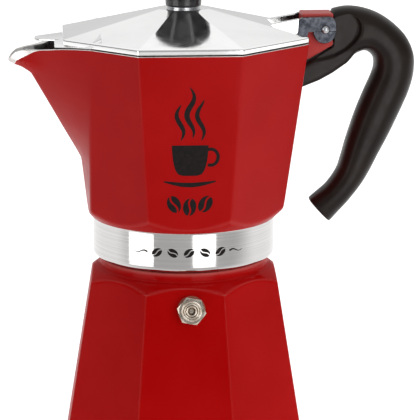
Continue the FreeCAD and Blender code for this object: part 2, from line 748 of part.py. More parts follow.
def make_knob():
    washer = new_body("knob_washer")
    spun(washer, "washer_ring", [(d.screw_radius, lid_top), (d.washer_radius, lid_top),
                                 (d.washer_radius, lid_top + d.washer_thickness),
                                 (d.screw_radius, lid_top + d.washer_thickness)])
    foot = lid_top + d.washer_thickness
    knob = new_body("lid_knob")
    grow = d.knob_radius - d.knob_foot_radius
    spun(knob, "knob_turned", [
        (0, foot), (d.knob_foot_radius - 0.6, foot), (d.knob_foot_radius, foot + 0.6),
        (d.knob_foot_radius + grow * 0.02, foot + d.knob_height * 0.06),
        (d.knob_foot_radius + grow * 0.16, foot + d.knob_height * 0.2),
        (d.knob_foot_radius + grow * 0.55, foot + d.knob_height * 0.42),
        (d.knob_foot_radius + grow * 0.88, foot + d.knob_height * 0.6),
        (d.knob_radius, foot + d.knob_height * 0.76), (d.knob_radius - 0.5, foot + d.knob_height * 0.86),
        (d.knob_radius - 2.6, foot + d.knob_height * 0.945), (d.knob_radius - 6, foot + d.knob_height * 0.985),
        (0, foot + d.knob_height)])
    flats(knob, "knob_flats", (d.knob_foot_radius, foot + d.knob_height * 0.2),
          (d.knob_radius, foot + d.knob_height * 0.9), d.knob_radius * 2)
    blind = circle(knob, "knob_bore_outline", "XY_Plane", 0, 0, d.screw_radius, (0, 0, foot))
    pocket(knob, "knob_bore", blind, 22)

    screw = new_body("knob_screw")
    under = lid_top - d.lid_thickness
    spun(screw, "knob_screw_turned", [
        (0, under - 2.2), (2.6, under - 2.2), (3.6, under - 1.4), (3.8, under - 0.05),
        (d.screw_radius, under - 0.05),
        (d.screw_radius, foot + 10.5), (d.screw_radius - 0.6, foot + 11), (0, foot + 11)])
    slot = outline(screw, "knob_screw_slot_outline", "XZ_Plane", [
        (-0.5, under - 3), (0.5, under - 3), (0.5, under - 1.2), (-0.5, under - 1.2)])
    pocket(screw, "knob_screw_slot", slot, 12)


# ---------------------------------------------------------------- handle and its screw

SCREW_TILT = 45.0           # the handle's screw rises towards the lug at this angle
SCREW_GRIP = as_size(4.0)   # how far it goes into the lug
screw_seat_reach = lug_end
screw_seat_level = d.rim_level - 3.4


def make_handle():
    """A moulded grip, lofted through oval sections along its curved spine, with a head at the lug."""
    # centre X and Z, thickness in the XZ plane and the direction of the spine in degrees from +X
    stations = [
        (56.0, 111.9, 12.6, 43.0, 0.80), (63.6, 119.1, 11.4, 50.0, 0.84), (68.2, 125.8, 11.8, 59.0, 0.87),
        (73.4, 138.2, 14.6, 69.0, 0.92), (78.3, 150.2, 16.6, 68.0, 0.96), (82.0, 158.7, 17.0, 68.0, 1.0),
        (85.7, 167.5, 16.8, 77.0, 1.0), (86.0, 175.4, 16.8, 102.0, 1.0), (81.8, 182.6, 15.6, 136.0, 1.0),
        (74.9, 187.0, 17.2, 160.0, 0.98), (67.6, 186.2, 21.2, 180.0, 0.95), (61.0, 184.0, 23.2, 184.0, 0.92),
    ]
    shift = d.rim_level.value - 184.3
    wires = []
    for x, z, thickness, angle, share in stations:
        direction = math.radians(angle)
        along = Vector(math.cos(direction), 0, math.sin(direction))
        across = Vector(-along.z, 0, along.x)
        centre = Vector(x + lug_end.value - 60.4, 0, z + shift)
        half_width = d.handle_width.value * share / 2
        long, short = (across * (thickness / 2), Vector(0, half_width, 0))
        if short.Length > long.Length:
            long, short = short, long
        ellipse = Part.Ellipse(centre + long, centre + short, centre)
        arcs = Part.Wire([ellipse.toShape()])
        wires.append(arcs)
    grip = Part.makeLoft(wires, True, False)
    reach = lug_end.value
    level = d.rim_level.value
    half = d.lug_half_width.value + 1.6
    toe_points = [(reach + 1.5, level - 1.5), (reach - 8.6, level - 7.8), (reach - 10.6, level - 19.4),
                  (reach - 4.0, level - 16.9), (reach + 3.0, level - 12.4), (reach + 8.0, level - 6.0)]
    corners = [Vector(x, -half, z) for x, z in toe_points]
    toe = Part.Face(Part.makePolygon(corners + corners[:1])).extrude(Vector(0, 2 * half, 0))
    toe = toe.makeFillet(2.6, [edge for edge in toe.Edges if abs(edge.Curve.Direction.y) < 0.5
                               and edge.CenterOfMass.z < level - 12])
    solid = grip.fuse(toe)
    gap = d.handle_gap.value
    lug_points = [(reach - 30, level + 30), (reach + gap, level + 30), (reach + gap, level - 2.9 - gap),
                  (reach - 8.9, level - 8.4 - gap), (reach - 30, level - 20.0)]
    corners = [Vector(x, -40, z) for x, z in lug_points]
    lug_room = Part.Face(Part.makePolygon(corners + corners[:1])).extrude(Vector(0, 80, 0))
    solid = solid.cut(lug_room)
    body_face = Vector(collector_half(d.rim_level).value + gap, -40, level)
    body_foot = Vector(collector_half(d.rim_level - 40).value + gap, -40, level - 40)
    behind = [body_face, body_foot, body_foot - Vector(40, 0, 0), body_face - Vector(40, 0, 0)]
    solid = solid.cut(Part.Face(Part.makePolygon(behind + behind[:1])).extrude(Vector(0, 80, 0)))
    relief = 6.8 + d.hinge_clearance.value
    depth = 20.0
    for side in (1, -1):
        start = d.lug_half_width.value + 0.2
        base = Vector(hinge_reach.value, side * start, hinge_level.value)
        solid = solid.cut(Part.makeCylinder(relief, depth, base, Vector(0, side, 0)))
    hole = screw_frame()
    shaft = Part.makeCylinder(d.screw_radius.value, 40, hole.multVec(Vector(0, 0, -20)), hole.Rotation.multVec(
        Vector(0, 0, 1)))
    head = Part.makeCylinder(3.9, 30, hole.multVec(Vector(0, 0, 5.0)), hole.Rotation.multVec(Vector(0, 0, 1)))
    solid = solid.cut(shaft).cut(head)
    feature = DOC.addObject("Part::Feature", "handle")
    feature.Label = "handle"
    feature.Shape = solid.removeSplitter()
    feature.Placement = Placement(Vector(0, 0, 0), Rotation())
    NODES.append(feature)


def screw_frame():
    """Frame of the handle's screw: origin on the lug's end face, +Z out towards the grip's inside."""
    tilt = math.radians(SCREW_TILT)
    out = Vector(math.cos(tilt), 0, -math.sin(tilt))
    origin = Vector(screw_seat_reach.value, 0, screw_seat_level.value)
    return Placement(origin, Rotation(Vector(0, 0, 1), out))


def make_handle_screw():
    body = new_body("handle_screw")
    spun(body, "handle_screw_turned", [
        (0, -(SCREW_GRIP - 0.4)), (d.screw_radius - 0.5, -(SCREW_GRIP - 0.4)), (d.screw_radius, -(SCREW_GRIP - 1)),
        (d.screw_radius, 5.0), (3.8, 5.0), (3.8, 6.6), (3.0, 7.4), (0, 7.4)])
    slot = outline(body, "handle_screw_slot_outline", "XZ_Plane", [
        (-0.5, 6.2), (0.5, 6.2), (0.5, 8.4), (-0.5, 8.4)])
    pocket(body, "handle_screw_slot", slot, 12)
    body.Placement = screw_frame()


# ---------------------------------------------------------------- build, check and write

def check():
    DOC.recompute()
    for item in DOC.Objects:
        if "Invalid" in item.State or "Error" in item.State:
            raise RuntimeError(f"{item.Label}: {item.State}")
    for node in NODES:
        shape = node.Shape
        if shape.isNull() or not shape.isValid() or not shape.Solids:
            raise RuntimeError(f"{node.Label}: bad shape")
        print(f"{node.Label:18s} solids {len(shape.Solids)}  volume {shape.Volume:10.1f}")


def write():
    os.makedirs("parts", exist_ok=True)
    for node in NODES:
        node.Shape.exportStep(os.path.join("parts", node.Label + ".step"))


make_boiler()
make_valve()
make_funnel()
make_seal()
make_collector()
make_riser()
make_lid()
make_hinge_pin()
make_knob()
make_handle()
make_handle_screw()
check()
write()
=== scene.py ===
import math

import bmesh
import bpy
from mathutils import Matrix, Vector


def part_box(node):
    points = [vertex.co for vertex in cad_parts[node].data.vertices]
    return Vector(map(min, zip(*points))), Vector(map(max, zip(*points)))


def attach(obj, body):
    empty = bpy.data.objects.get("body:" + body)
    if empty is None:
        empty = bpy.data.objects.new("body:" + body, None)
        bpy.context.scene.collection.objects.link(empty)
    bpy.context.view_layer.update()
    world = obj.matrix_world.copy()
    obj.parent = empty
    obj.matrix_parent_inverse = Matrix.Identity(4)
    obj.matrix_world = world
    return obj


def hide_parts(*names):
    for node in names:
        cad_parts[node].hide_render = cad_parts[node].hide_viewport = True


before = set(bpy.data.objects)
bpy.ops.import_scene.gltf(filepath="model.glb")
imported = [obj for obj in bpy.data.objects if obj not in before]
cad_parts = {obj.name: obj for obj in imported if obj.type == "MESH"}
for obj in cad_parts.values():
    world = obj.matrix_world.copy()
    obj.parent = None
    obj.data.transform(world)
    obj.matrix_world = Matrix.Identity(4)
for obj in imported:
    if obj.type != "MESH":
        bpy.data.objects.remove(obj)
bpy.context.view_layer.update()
MM = 0.001
SIDES = 8
HALF_SIDE = math.pi / SIDES
CORNER = 1 / math.cos(HALF_SIDE)


def box_mm(node):
    """A node's lowest and highest corners, in millimetres."""
    low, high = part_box(node)
    return Vector(low) / MM, Vector(high) / MM


# ---------------------------------------------------------------- sizes

boiler_high = box_mm("boiler")[1]
gasket_high = box_mm("gasket")[1]
washer_low = box_mm("knob_washer")[0]
knob_low, knob_high = box_mm("lid_knob")
collector_low, collector_high = box_mm("collector")

PIN_HEAD = 1.75
BOILER_TURN = math.radians(-2.15)
BOILER_RIM = boiler_high.z
BASE_HALF = 51.9
SHOULDER_HALF = 38.15
SHOULDER = 86.0
SHOULDER_TOP = SHOULDER + 2.6
SKIRT_LEVEL = collector_low.z
SKIRT_TOP = SKIRT_LEVEL + 16.15
SKIRT_RADIUS = 37.5
SKIRT_BORE = SKIRT_RADIUS - 3.4
PITCH = 3.0
FOOT_LEVEL = SKIRT_LEVEL + 20.0
FOOT_HALF = 39.7
RIM = collector_high.z - 10.0
RIM_HALF = 49.0
WALL = 2.4
LUG_TOP = collector_high.z
LUG_HALF = 6.0
CHAMBER_FLOOR = 120.0
PLATE_LEVEL = gasket_high.z + 0.9
LID_FOOT = RIM + 0.35
LID_EDGE = LID_FOOT + 2.1
LID_TOP = washer_low.z
PIN = Vector((56.9, 0.0, 188.2))


# ---------------------------------------------------------------- mesh helpers

def new_piece(name, bm, smooth=True):
    """Turn a bmesh in millimetres into a named object in metres."""
    bmesh.ops.scale(bm, vec=(MM, MM, MM), verts=bm.verts)
    bmesh.ops.recalc_face_normals(bm, faces=bm.faces)
    mesh = bpy.data.meshes.new(name)
    bm.to_mesh(mesh)
    bm.free()
    if smooth:
        mesh.polygons.foreach_set("use_smooth", [True] * len(mesh.polygons))
    piece = bpy.data.objects.new(name, mesh)
    bpy.context.collection.objects.link(piece)
    return piece


def apply_modifiers(piece):
    """Bake a piece's modifiers into its mesh."""
    graph = bpy.context.evaluated_depsgraph_get()
    mesh = bpy.data.meshes.new_from_object(piece.evaluated_get(graph))
    piece.modifiers.clear()
    piece.data = mesh


def even_normals(piece):
    """Let large flat faces keep their own normals beside small rounded edges."""
    modifier = piece.modifiers.new("even_normals", "WEIGHTED_NORMAL")
    modifier.mode = "FACE_AREA"
    modifier.weight = 80


def round_edges(piece, width, segments=3, angle=30):
    modifier = piece.modifiers.new("round_edges", "BEVEL")
    modifier.width = width * MM
    modifier.segments = segments
    modifier.limit_method = "ANGLE"
    modifier.angle_limit = math.radians(angle)
    even_normals(piece)


def skin(name, rings, slots=None, closed=False):
    """A surface through rings of points.  slots gives each row of faces its material slot."""
    bm = bmesh.new()
    rows = [[bm.verts.new(point) for point in ring] for ring in rings]
    count = len(rows[0])
    last = len(rows) if closed else len(rows) - 1
    for row in range(last):
        low, high = rows[row], rows[(row + 1) % len(rows)]
        for index in range(count):
            after = (index + 1) % count
            face = bm.faces.new((low[index], low[after], high[after], high[index]))
            face.material_index = slots[row] if slots else 0
    if not closed:
        for ring in (rows[0], rows[-1]):
            if (ring[0].co - ring[count // 2].co).length > 0.001:
                bm.faces.new(ring)
    bmesh.ops.remove_doubles(bm, verts=bm.verts, dist=0.0005)
    return new_piece(name, bm)


def slab(name, points, low, high):
    """An XZ outline made solid between two Y values."""
    bm = bmesh.new()
    front = [bm.verts.new((x, low, z)) for x, z in points]
    back = [bm.verts.new((x, high, z)) for x, z in points]
    bm.faces.new(front)
    bm.faces.new(list(reversed(back)))
    for index in range(len(points)):
        after = (index + 1) % len(points)
        bm.faces.new((front[index], back[index], back[after], front[after]))
    return new_piece(name, bm)


def arc(centre, radius, start, stop, steps):
    """Points on an arc in the XZ plane, angles in degrees from +X."""
    points = []
    for step in range(steps + 1):
        angle = math.radians(start + (stop - start) * step / steps)
        points.append((centre[0] + radius * math.cos(angle), centre[1] + radius * math.sin(angle)))
    return points


def smooth_step(low, high, value):
    share = min(1.0, max(0.0, (value - low) / (high - low)))
    return share * share * (3 - 2 * share)


def curve(points, place):
    """Straight-line interpolation through (place, value) points."""
    for (x0, v0), (x1, v1) in zip(points, points[1:]):
        if place < x1:
            return v0 + (v1 - v0) * max(0.0, place - x0) / (x1 - x0)
    return points[-1][1]


def rounded_ring(corners, cuts, spans, level):
    """Points round a polygon whose corners are cut to small curves, at a level."""
    arc_steps = 5
    count = len(corners)
    starts, ends = [], []
    for index, corner in enumerate(corners):
        before = (corners[index - 1] - corner).normalized()
        after = (corners[(index + 1) % count] - corner).normalized()
        starts.append(corner + before * cuts[index])
        ends.append(corner + after * cuts[index])
    ring = []
    for index, corner in enumerate(corners):
        for step in range(arc_steps):
            t = step / arc_steps
            ring.append(starts[index] * (1 - t) ** 2 + corner * (2 * t * (1 - t)) + ends[index] * t * t)
        next_start = starts[(index + 1) % count]
        steps = spans[index]
        for step in range(steps):
            ring.append(ends[index].lerp(next_start, step / steps))
    return [Vector((point.x, point.y, level)) for point in ring]


def octagon_corners(half):
    reach = half * CORNER
    return [Vector((reach * math.cos((k + 0.5) * 2 * HALF_SIDE), reach * math.sin((k + 0.5) * 2 * HALF_SIDE)))
            for k in range(SIDES)]


def octagon_ring(half, level, cut=0.7, span=12):
    return rounded_ring(octagon_corners(half), [cut] * SIDES, [span] * SIDES, level)


def round_ring(ring, radius, level):
    """The ring's points moved to a circle."""
    moved = []
    for point in ring:
        flat = Vector((point.x, point.y)).normalized() * radius
        moved.append(Vector((flat.x, flat.y, level)))
    return moved


def trim_ring(ring, radius, softness=0.35):
    """The ring's points drawn in to a radius, with a small soft blend."""
    moved = []
    for point in ring:
        reach = math.hypot(point.x, point.y)
        gap = reach - radius
        new_reach = reach - 0.5 * (gap + math.sqrt(gap * gap + softness * softness))
        if gap < -6 * softness:
            new_reach = reach
        moved.append(Vector((point.x * new_reach / reach, point.y * new_reach / reach, point.z)))
    return moved


def thread_rings(ring, root, crest, low, high):
    """Rings of a helical ridge between two levels, fading out at both ends."""
    rings = []
    steps = int((high - low) / 0.25)
    for step in range(steps + 1):
        level = low + (high - low) * step / steps
        painted_floor_glow = smooth_step(low, low + 1.5, level) * (1 - smooth_step(high - 1.5, high, level))
        row = []
        for point in ring:
            angle = math.atan2(point.y, point.x)
            phase = (level / PITCH - angle / (2 * math.pi)) % 1.0
            ridge = smooth_step(0.0, 0.3, phase) * (1 - smooth_step(0.45, 0.75, phase))
            radius = root + (crest - root) * ridge * painted_floor_glow
            row.append(Vector((radius * math.cos(angle), radius * math.sin(angle), level)))
        rings.append(row)
    return rings


def turn_z(rings, angle):
    """Rings turned about the Z axis."""
    cosine, sine = math.cos(angle), math.sin(angle)
    turned = []
    for ring in rings:
        turned.append([Vector((p.x * cosine - p.y * sine, p.x * sine + p.y * cosine, p.z)) for p in ring])
    return turned


def finish_piece(piece, body, slot, *nodes):
    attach(piece, body)
    if nodes:
        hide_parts(*nodes)
    return piece


# ---------------------------------------------------------------- materials

def shader(name, color, roughness, metallic=0.0):
    material = bpy.data.materials.new(name)
    material.use_nodes = True
    surface = material.node_tree.nodes["Principled BSDF"]
    surface.inputs["Base Color"].default_value = (*color, 1)
    surface.inputs["Roughness"].default_value = roughness
    surface.inputs["Metallic"].default_value = metallic
    return material, surface


def noise(material, scale, detail=4.0, stretch=None):
    """A noise texture in object space, in features per metre, optionally stretched."""
    nodes, links = material.node_tree.nodes, material.node_tree.links
    texture = nodes.new("ShaderNodeTexNoise")
    texture.inputs["Scale"].default_value = scale
    texture.inputs["Detail"].default_value = detail
    place = nodes.new("ShaderNodeTexCoord")
    if stretch:
        mapping = nodes.new("ShaderNodeMapping")
        mapping.inputs["Scale"].default_value = stretch
        links.new(place.outputs["Object"], mapping.inputs["Vector"])
        links.new(mapping.outputs["Vector"], texture.inputs["Vector"])
    else:
        links.new(place.outputs["Object"], texture.inputs["Vector"])
    return texture


def vary_color(material, surface, texture, dark, light, low=0.35, high=0.65):
    nodes, links = material.node_tree.nodes, material.node_tree.links
    ramp = nodes.new("ShaderNodeValToRGB")
    ramp.color_ramp.elements[0].position = low
    ramp.color_ramp.elements[0].color = (*dark, 1)
    ramp.color_ramp.elements[1].position = high
    ramp.color_ramp.elements[1].color = (*light, 1)
    links.new(texture.outputs["Fac"], ramp.inputs["Fac"])
    links.new(ramp.outputs["Color"], surface.inputs["Base Color"])
    return ramp


def vary_roughness(material, surface, texture, low, high):
    nodes, links = material.node_tree.nodes, material.node_tree.links
    spread = nodes.new("ShaderNodeMapRange")
    spread.inputs["From Min"].default_value = 0.3
    spread.inputs["From Max"].default_value = 0.7
    spread.inputs["To Min"].default_value = low
    spread.inputs["To Max"].default_value = high
    links.new(texture.outputs["Fac"], spread.inputs["Value"])
    links.new(spread.outputs["Result"], surface.inputs["Roughness"])


def add_bump(material, surface, texture, strength, distance):
    nodes, links = material.node_tree.nodes, material.node_tree.links
    bump = nodes.new("ShaderNodeBump")
    bump.inputs["Strength"].default_value = strength
    bump.inputs["Distance"].default_value = distance
    links.new(texture.outputs["Fac"], bump.inputs["Height"])
    links.new(bump.outputs["Normal"], surface.inputs["Normal"])


def paint_edge_highlight(material, surface, ramp, edge_highlight):
    """Thin, pale painted highlight on the outward edges, in place of the sheen along the rounded facet edges.
    """
    nodes, links = material.node_tree.nodes, material.node_tree.links
    shape = nodes.new("ShaderNodeNewGeometry")
    edge = nodes.new("ShaderNodeMapRange")
    edge.interpolation_type = "SMOOTHSTEP"
    edge.inputs["From Min"].default_value = 0.505
    edge.inputs["From Max"].default_value = 0.56
    edge.inputs["To Max"].default_value = 0.55
    blend = nodes.new("ShaderNodeMix")
    blend.data_type = "RGBA"
    color_in = [socket for socket in blend.inputs if socket.type == "RGBA"]
    color_in[1].default_value = (*edge_highlight, 1)
    links.new(shape.outputs["Pointiness"], edge.inputs["Value"])
    links.new(edge.outputs["Result"], blend.inputs["Factor"])
    links.new(ramp.outputs["Color"], color_in[0])
    color_out = [socket for socket in blend.outputs if socket.type == "RGBA"]
    links.new(color_out[0], surface.inputs["Base Color"])


def red_enamel(name, gloss, coat):
    material, surface = shader(name, (0.50, 0.004, 0.004), 0.33)
    surface.inputs["Specular IOR Level"].default_value = gloss
    surface.inputs["Coat Weight"].default_value = coat
    surface.inputs["Coat Roughness"].default_value = 0.07
    surface.inputs["Coat IOR"].default_value = 1.3
    cloud = noise(material, 38.0, 5.0)
    ramp = vary_color(material, surface, cloud, (0.445, 0.002, 0.002), (0.485, 0.004, 0.004))
    # paler edges: a painted highlight along the facet edges
    paint_edge_highlight(material, surface, ramp, (0.78, 0.22, 0.20))
    vary_roughness(material, surface, noise(material, 120.0, 3.0), 0.30, 0.42)
    add_bump(material, surface, noise(material, 900.0, 2.0), 0.07, 0.0002)
    return material


def polished_aluminium():
    material, surface = shader("polished_aluminium", (0.92, 0.92, 0.915), 0.10, 1.0)
    vary_color(material, surface, noise(material, 60.0, 3.0), (0.89, 0.89, 0.885), (0.94, 0.94, 0.935))
    vary_roughness(material, surface, noise(material, 220.0, 4.0), 0.06, 0.13)
    add_bump(material, surface, noise(material, 420.0, 3.0), 0.05, 0.0001)
    return material


def turned_band():
    """The bare skirt: bright aluminium with the fine rings that a lathe leaves."""
    material, surface = shader("turned_band", (0.56, 0.555, 0.55), 0.12, 1.0)
    rings = noise(material, 1.0, 6.0, (8.0, 8.0, 2600.0))
    vary_color(material, surface, rings, (0.52, 0.51, 0.505), (0.60, 0.59, 0.58))
    vary_roughness(material, surface, rings, 0.07, 0.16)
    add_bump(material, surface, rings, 0.06, 0.0001)
    return material


def cast_aluminium():
    material, surface = shader("cast_aluminium", (0.74, 0.74, 0.73), 0.34, 1.0)
    vary_color(material, surface, noise(material, 90.0, 6.0), (0.66, 0.66, 0.65), (0.80, 0.80, 0.79))
    vary_roughness(material, surface, noise(material, 160.0, 4.0), 0.26, 0.44)
    add_bump(material, surface, noise(material, 700.0, 4.0), 0.18, 0.0002)
    return material


def spout_inside_painted_light():
    """The inside of the spout: a paler, more diffuse copy of the cast metal, painted light that brightens its
    shaded inside.
    """
    material, surface = shader("spout_inside_painted_light", (0.93, 0.93, 0.92), 0.45, 0.2)
    vary_color(material, surface, noise(material, 300.0, 4.0), (0.88, 0.88, 0.87), (0.96, 0.96, 0.95))
    vary_roughness(material, surface, noise(material, 500.0, 4.0), 0.38, 0.52)
    add_bump(material, surface, noise(material, 800.0, 3.0), 0.12, 0.0002)
    return material


def ground_edge():
    """Bare metal where the enamel is ground off the lip."""
    material, surface = shader("ground_edge", (0.68, 0.66, 0.64), 0.30, 1.0)
    vary_color(material, surface, noise(material, 400.0, 4.0), (0.60, 0.57, 0.55), (0.74, 0.72, 0.70))
    vary_roughness(material, surface, noise(material, 600.0, 4.0), 0.22, 0.38)
    add_bump(material, surface, noise(material, 900.0, 3.0), 0.15, 0.0002)
    return material


def ear_aluminium():
    """Die-cast lid lugs: a rougher metal, coloured near black, far darker than the polished roof."""
    material, surface = shader("ear_aluminium", (0.16, 0.165, 0.19), 0.30, 1.0)
    vary_color(material, surface, noise(material, 600.0, 6.0), (0.028, 0.030, 0.038), (0.085, 0.09, 0.105))
    vary_roughness(material, surface, noise(material, 500.0, 3.0), 0.22, 0.40)
    add_bump(material, surface, noise(material, 900.0, 4.0), 0.35, 0.0003)
    return material


def dark_plastic():
    material, surface = shader("dark_plastic", (0.018, 0.013, 0.011), 0.34)
    surface.inputs["Specular IOR Level"].default_value = 0.22
    vary_color(material, surface, noise(material, 55.0, 4.0),
               (0.0105, 0.0065, 0.0048), (0.017, 0.0105, 0.008))
    vary_roughness(material, surface, noise(material, 300.0, 4.0), 0.28, 0.40)
    add_bump(material, surface, noise(material, 1500.0, 3.0), 0.12, 0.0002)
    return material


def knob_plastic():
    material, surface = shader("knob_plastic", (0.022, 0.021, 0.024), 0.22)
    vary_color(material, surface, noise(material, 70.0, 4.0), (0.018, 0.016, 0.017), (0.028, 0.027, 0.031))
    vary_roughness(material, surface, noise(material, 260.0, 4.0), 0.18, 0.27)
    add_bump(material, surface, noise(material, 1300.0, 3.0), 0.08, 0.0002)
    return material


def plated_brass():
    material, surface = shader("plated_brass", (0.66, 0.58, 0.49), 0.18, 1.0)
    vary_color(material, surface, noise(material, 420.0, 5.0), (0.54, 0.45, 0.36), (0.78, 0.71, 0.62))
    vary_roughness(material, surface, noise(material, 700.0, 4.0), 0.14, 0.26)
    add_bump(material, surface, noise(material, 1400.0, 3.0), 0.08, 0.0002)
    return material


def steel():
    material, surface = shader("steel", (0.60, 0.61, 0.63), 0.28, 1.0)
    vary_color(material, surface, noise(material, 300.0, 5.0), (0.52, 0.53, 0.55), (0.68, 0.69, 0.71))
    vary_roughness(material, surface, noise(material, 900.0, 4.0), 0.22, 0.36)
    return material


def silicone():
    material, surface = shader("silicone", (0.78, 0.78, 0.74), 0.55)
    vary_color(material, surface, noise(material, 120.0, 4.0), (0.73, 0.73, 0.69), (0.82, 0.82, 0.78))
    add_bump(material, surface, noise(material, 900.0, 3.0), 0.15, 0.0002)
    return material


def fibre():
    material, surface = shader("fibre", (0.32, 0.09, 0.05), 0.75)
    vary_color(material, surface, noise(material, 900.0, 5.0), (0.24, 0.06, 0.035), (0.40, 0.12, 0.07))
    return material


def black_ink():
    material, surface = shader("black_ink", (0.012, 0.010, 0.010), 0.45)
    surface.inputs["Specular IOR Level"].default_value = 0.1
    vary_color(material, surface, noise(material, 700.0, 4.0), (0.010, 0.008, 0.008), (0.018, 0.012, 0.012))
    vary_roughness(material, surface, noise(material, 400.0, 3.0), 0.38, 0.52)
    return material


RED = red_enamel("red_enamel", 0.05, 0.10)
BOILER_RED = red_enamel("boiler_red_enamel", 0.0, 0.22)
POLISHED = polished_aluminium()
BAND = turned_band()
CAST = cast_aluminium()
SPOUT_INSIDE_LIT = spout_inside_painted_light()
EDGE = ground_edge()
EAR = ear_aluminium()
PLASTIC = dark_plastic()
KNOB = knob_plastic()
NICKEL = plated_brass()
STEEL = steel()
RUBBER = silicone()
FIBRE = fibre()
INK = black_ink()


def wear(piece, *materials):
    for material in materials:
        piece.data.materials.append(material)


# ---------------------------------------------------------------- boiler

def boiler_half(level):
    return BASE_HALF - level * (BASE_HALF - SHOULDER_HALF) / SHOULDER


def make_boiler():
    rings, slots = [], []

    def add(ring, slot):
        rings.append(ring)
        slots.append(slot)

    cone_run = 3.4 / 2.6
    corner = SHOULDER_HALF * CORNER
    pattern = octagon_ring(BASE_HALF, 0)
    for radius in (4, 20, 38, 47):
        add(round_ring(pattern, radius, 0.0), 0)
    for inset, level in ((1.6, 0.0), (0.8, 0.05), (0.3, 0.35), (0.05, 0.9)):
        add(octagon_ring(boiler_half(level) - inset, level), 0)
    levels = [1.4, 6, 14, 24, 34, 44, 54, 64, 72, 78] + [80 + 0.25 * step for step in range(41)]
    for level in levels:
        cone = corner + (SHOULDER - level) * cone_run
        add(trim_ring(octagon_ring(boiler_half(level), level), cone, 0.15), 0)
    cone_top = corner - (90.0 - SHOULDER) * cone_run
    for radius, level in ((cone_top - 0.6, 90.25), (35.4, 90.55), (34.8, 90.9), (34.55, 91.5), (34.5, 92.2),
                          (34.5, 93.6), (34.2, 94.1), (33.6, 94.2), (32.3, 94.2)):
        add(round_ring(pattern, radius, level), 0 if level < 94.15 else 1)
    for ring in thread_rings(pattern, 32.3, 33.05, 95.0, BOILER_RIM - 1.5):
        add(ring, 1)
    for radius, level in ((32.2, BOILER_RIM - 0.6), (31.8, BOILER_RIM - 0.1), (31.4, BOILER_RIM),
                          (29.2, BOILER_RIM), (28.8, BOILER_RIM - 0.15), (28.6, BOILER_RIM - 0.6),
                          (28.6, 95.0), (28.6, SHOULDER_TOP + 0.5), (29.2, SHOULDER_TOP - 0.6), (34.4, 82.4),
                          (35.2, 81.0), (35.6, 78.0), (41.0, 44.0), (46.4, 12.0), (46.9, 7.6), (46.0, 5.0),
                          (43.5, 3.7), (40.0, 3.6), (20.0, 3.6), (4.0, 3.6)):
        add(round_ring(pattern, radius, level), 2)
    piece = skin("boiler_vessel", turn_z(rings, BOILER_TURN), slots)
    wear(piece, BOILER_RED, BAND, CAST)
    even_normals(piece)
    return finish_piece(piece, "boiler", "red_enamel", "boiler")


VALVE_LEVEL = 80.4
VALVE_OFFSET = 2.3          # along the flat, from its middle
VALVE_TOP = 5.2             # the valve's face over the flat
# each ridge's name, radius, width and lift over the valve's face
VALVE_RIDGES = [("valve_ridge_outer", 3.75, 0.42, -0.05), ("valve_ridge_middle", 2.75, 0.30, 0.0),
                ("valve_ridge_inner", 1.85, 0.34, 0.1)]


def make_valve_rings():
    """The turned ridges on the safety valve's face, on the valve's own axis."""
    tilt = math.atan2(BASE_HALF - SHOULDER_HALF, SHOULDER)
    outward = Vector((0, -math.cos(tilt), math.sin(tilt)))
    across = Vector((1, 0, 0))
    up = outward.cross(across)
    seat = Vector((VALVE_OFFSET, -boiler_half(VALVE_LEVEL), VALVE_LEVEL))
    turns = [2 * math.pi * k / 48 for k in range(48)]
    for name, radius, width, lift in VALVE_RIDGES:
        rings = []
        for step in range(12):
            angle = 2 * math.pi * step / 12
            reach = radius + width * math.cos(angle)
            centre = seat + outward * (VALVE_TOP + lift + width * math.sin(angle) * 0.8)
            rings.append([centre + (across * math.cos(a) + up * math.sin(a)) * reach for a in turns])
        piece = skin(name, turn_z(rings, BOILER_TURN), closed=True)
        wear(piece, NICKEL)
        finish_piece(piece, "boiler", "nickel")


# ---------------------------------------------------------------- collector

SPOUT_FOOT = 135.4
SPOUT_SLOPE = 0.58          # how far the spout's ridge moves out for each millimetre up
SPOUT_SPREAD = 0.23
# how far the spout's lip lies below the rim, and how deep it is ground bare, by reach
LIP_DROP = [(38.0, 0.0), (44.0, 0.5), (50.0, 1.3), (55.0, 2.3), (60.0, 3.2), (65.5, 3.7),
            (68.0, 4.2), (69.6, 5.3), (71.0, 7.3), (72.2, 10.2), (74.0, 15.0)]
LIP_BARE = [(38.0, 0.35), (58.5, 0.35), (60.5, 0.7), (62.8, 1.7), (65.5, 3.0), (68.5, 4.2),
            (70.0, 4.0), (71.0, 2.8), (71.6, 2.0)]
# how far the nose flares past the spout's straight ridge, by level
NOSE_FLARE = [(170.5, 0.0), (171.5, 0.9), (173.1, 2.5), (174.0, 4.6), (175.5, 6.3), (177.0, 5.4),
              (180.0, 3.7), (184.5, 1.2)]


def collector_half(level):
    return FOOT_HALF + (level - FOOT_LEVEL) * (RIM_HALF - FOOT_HALF) / (RIM - FOOT_LEVEL)


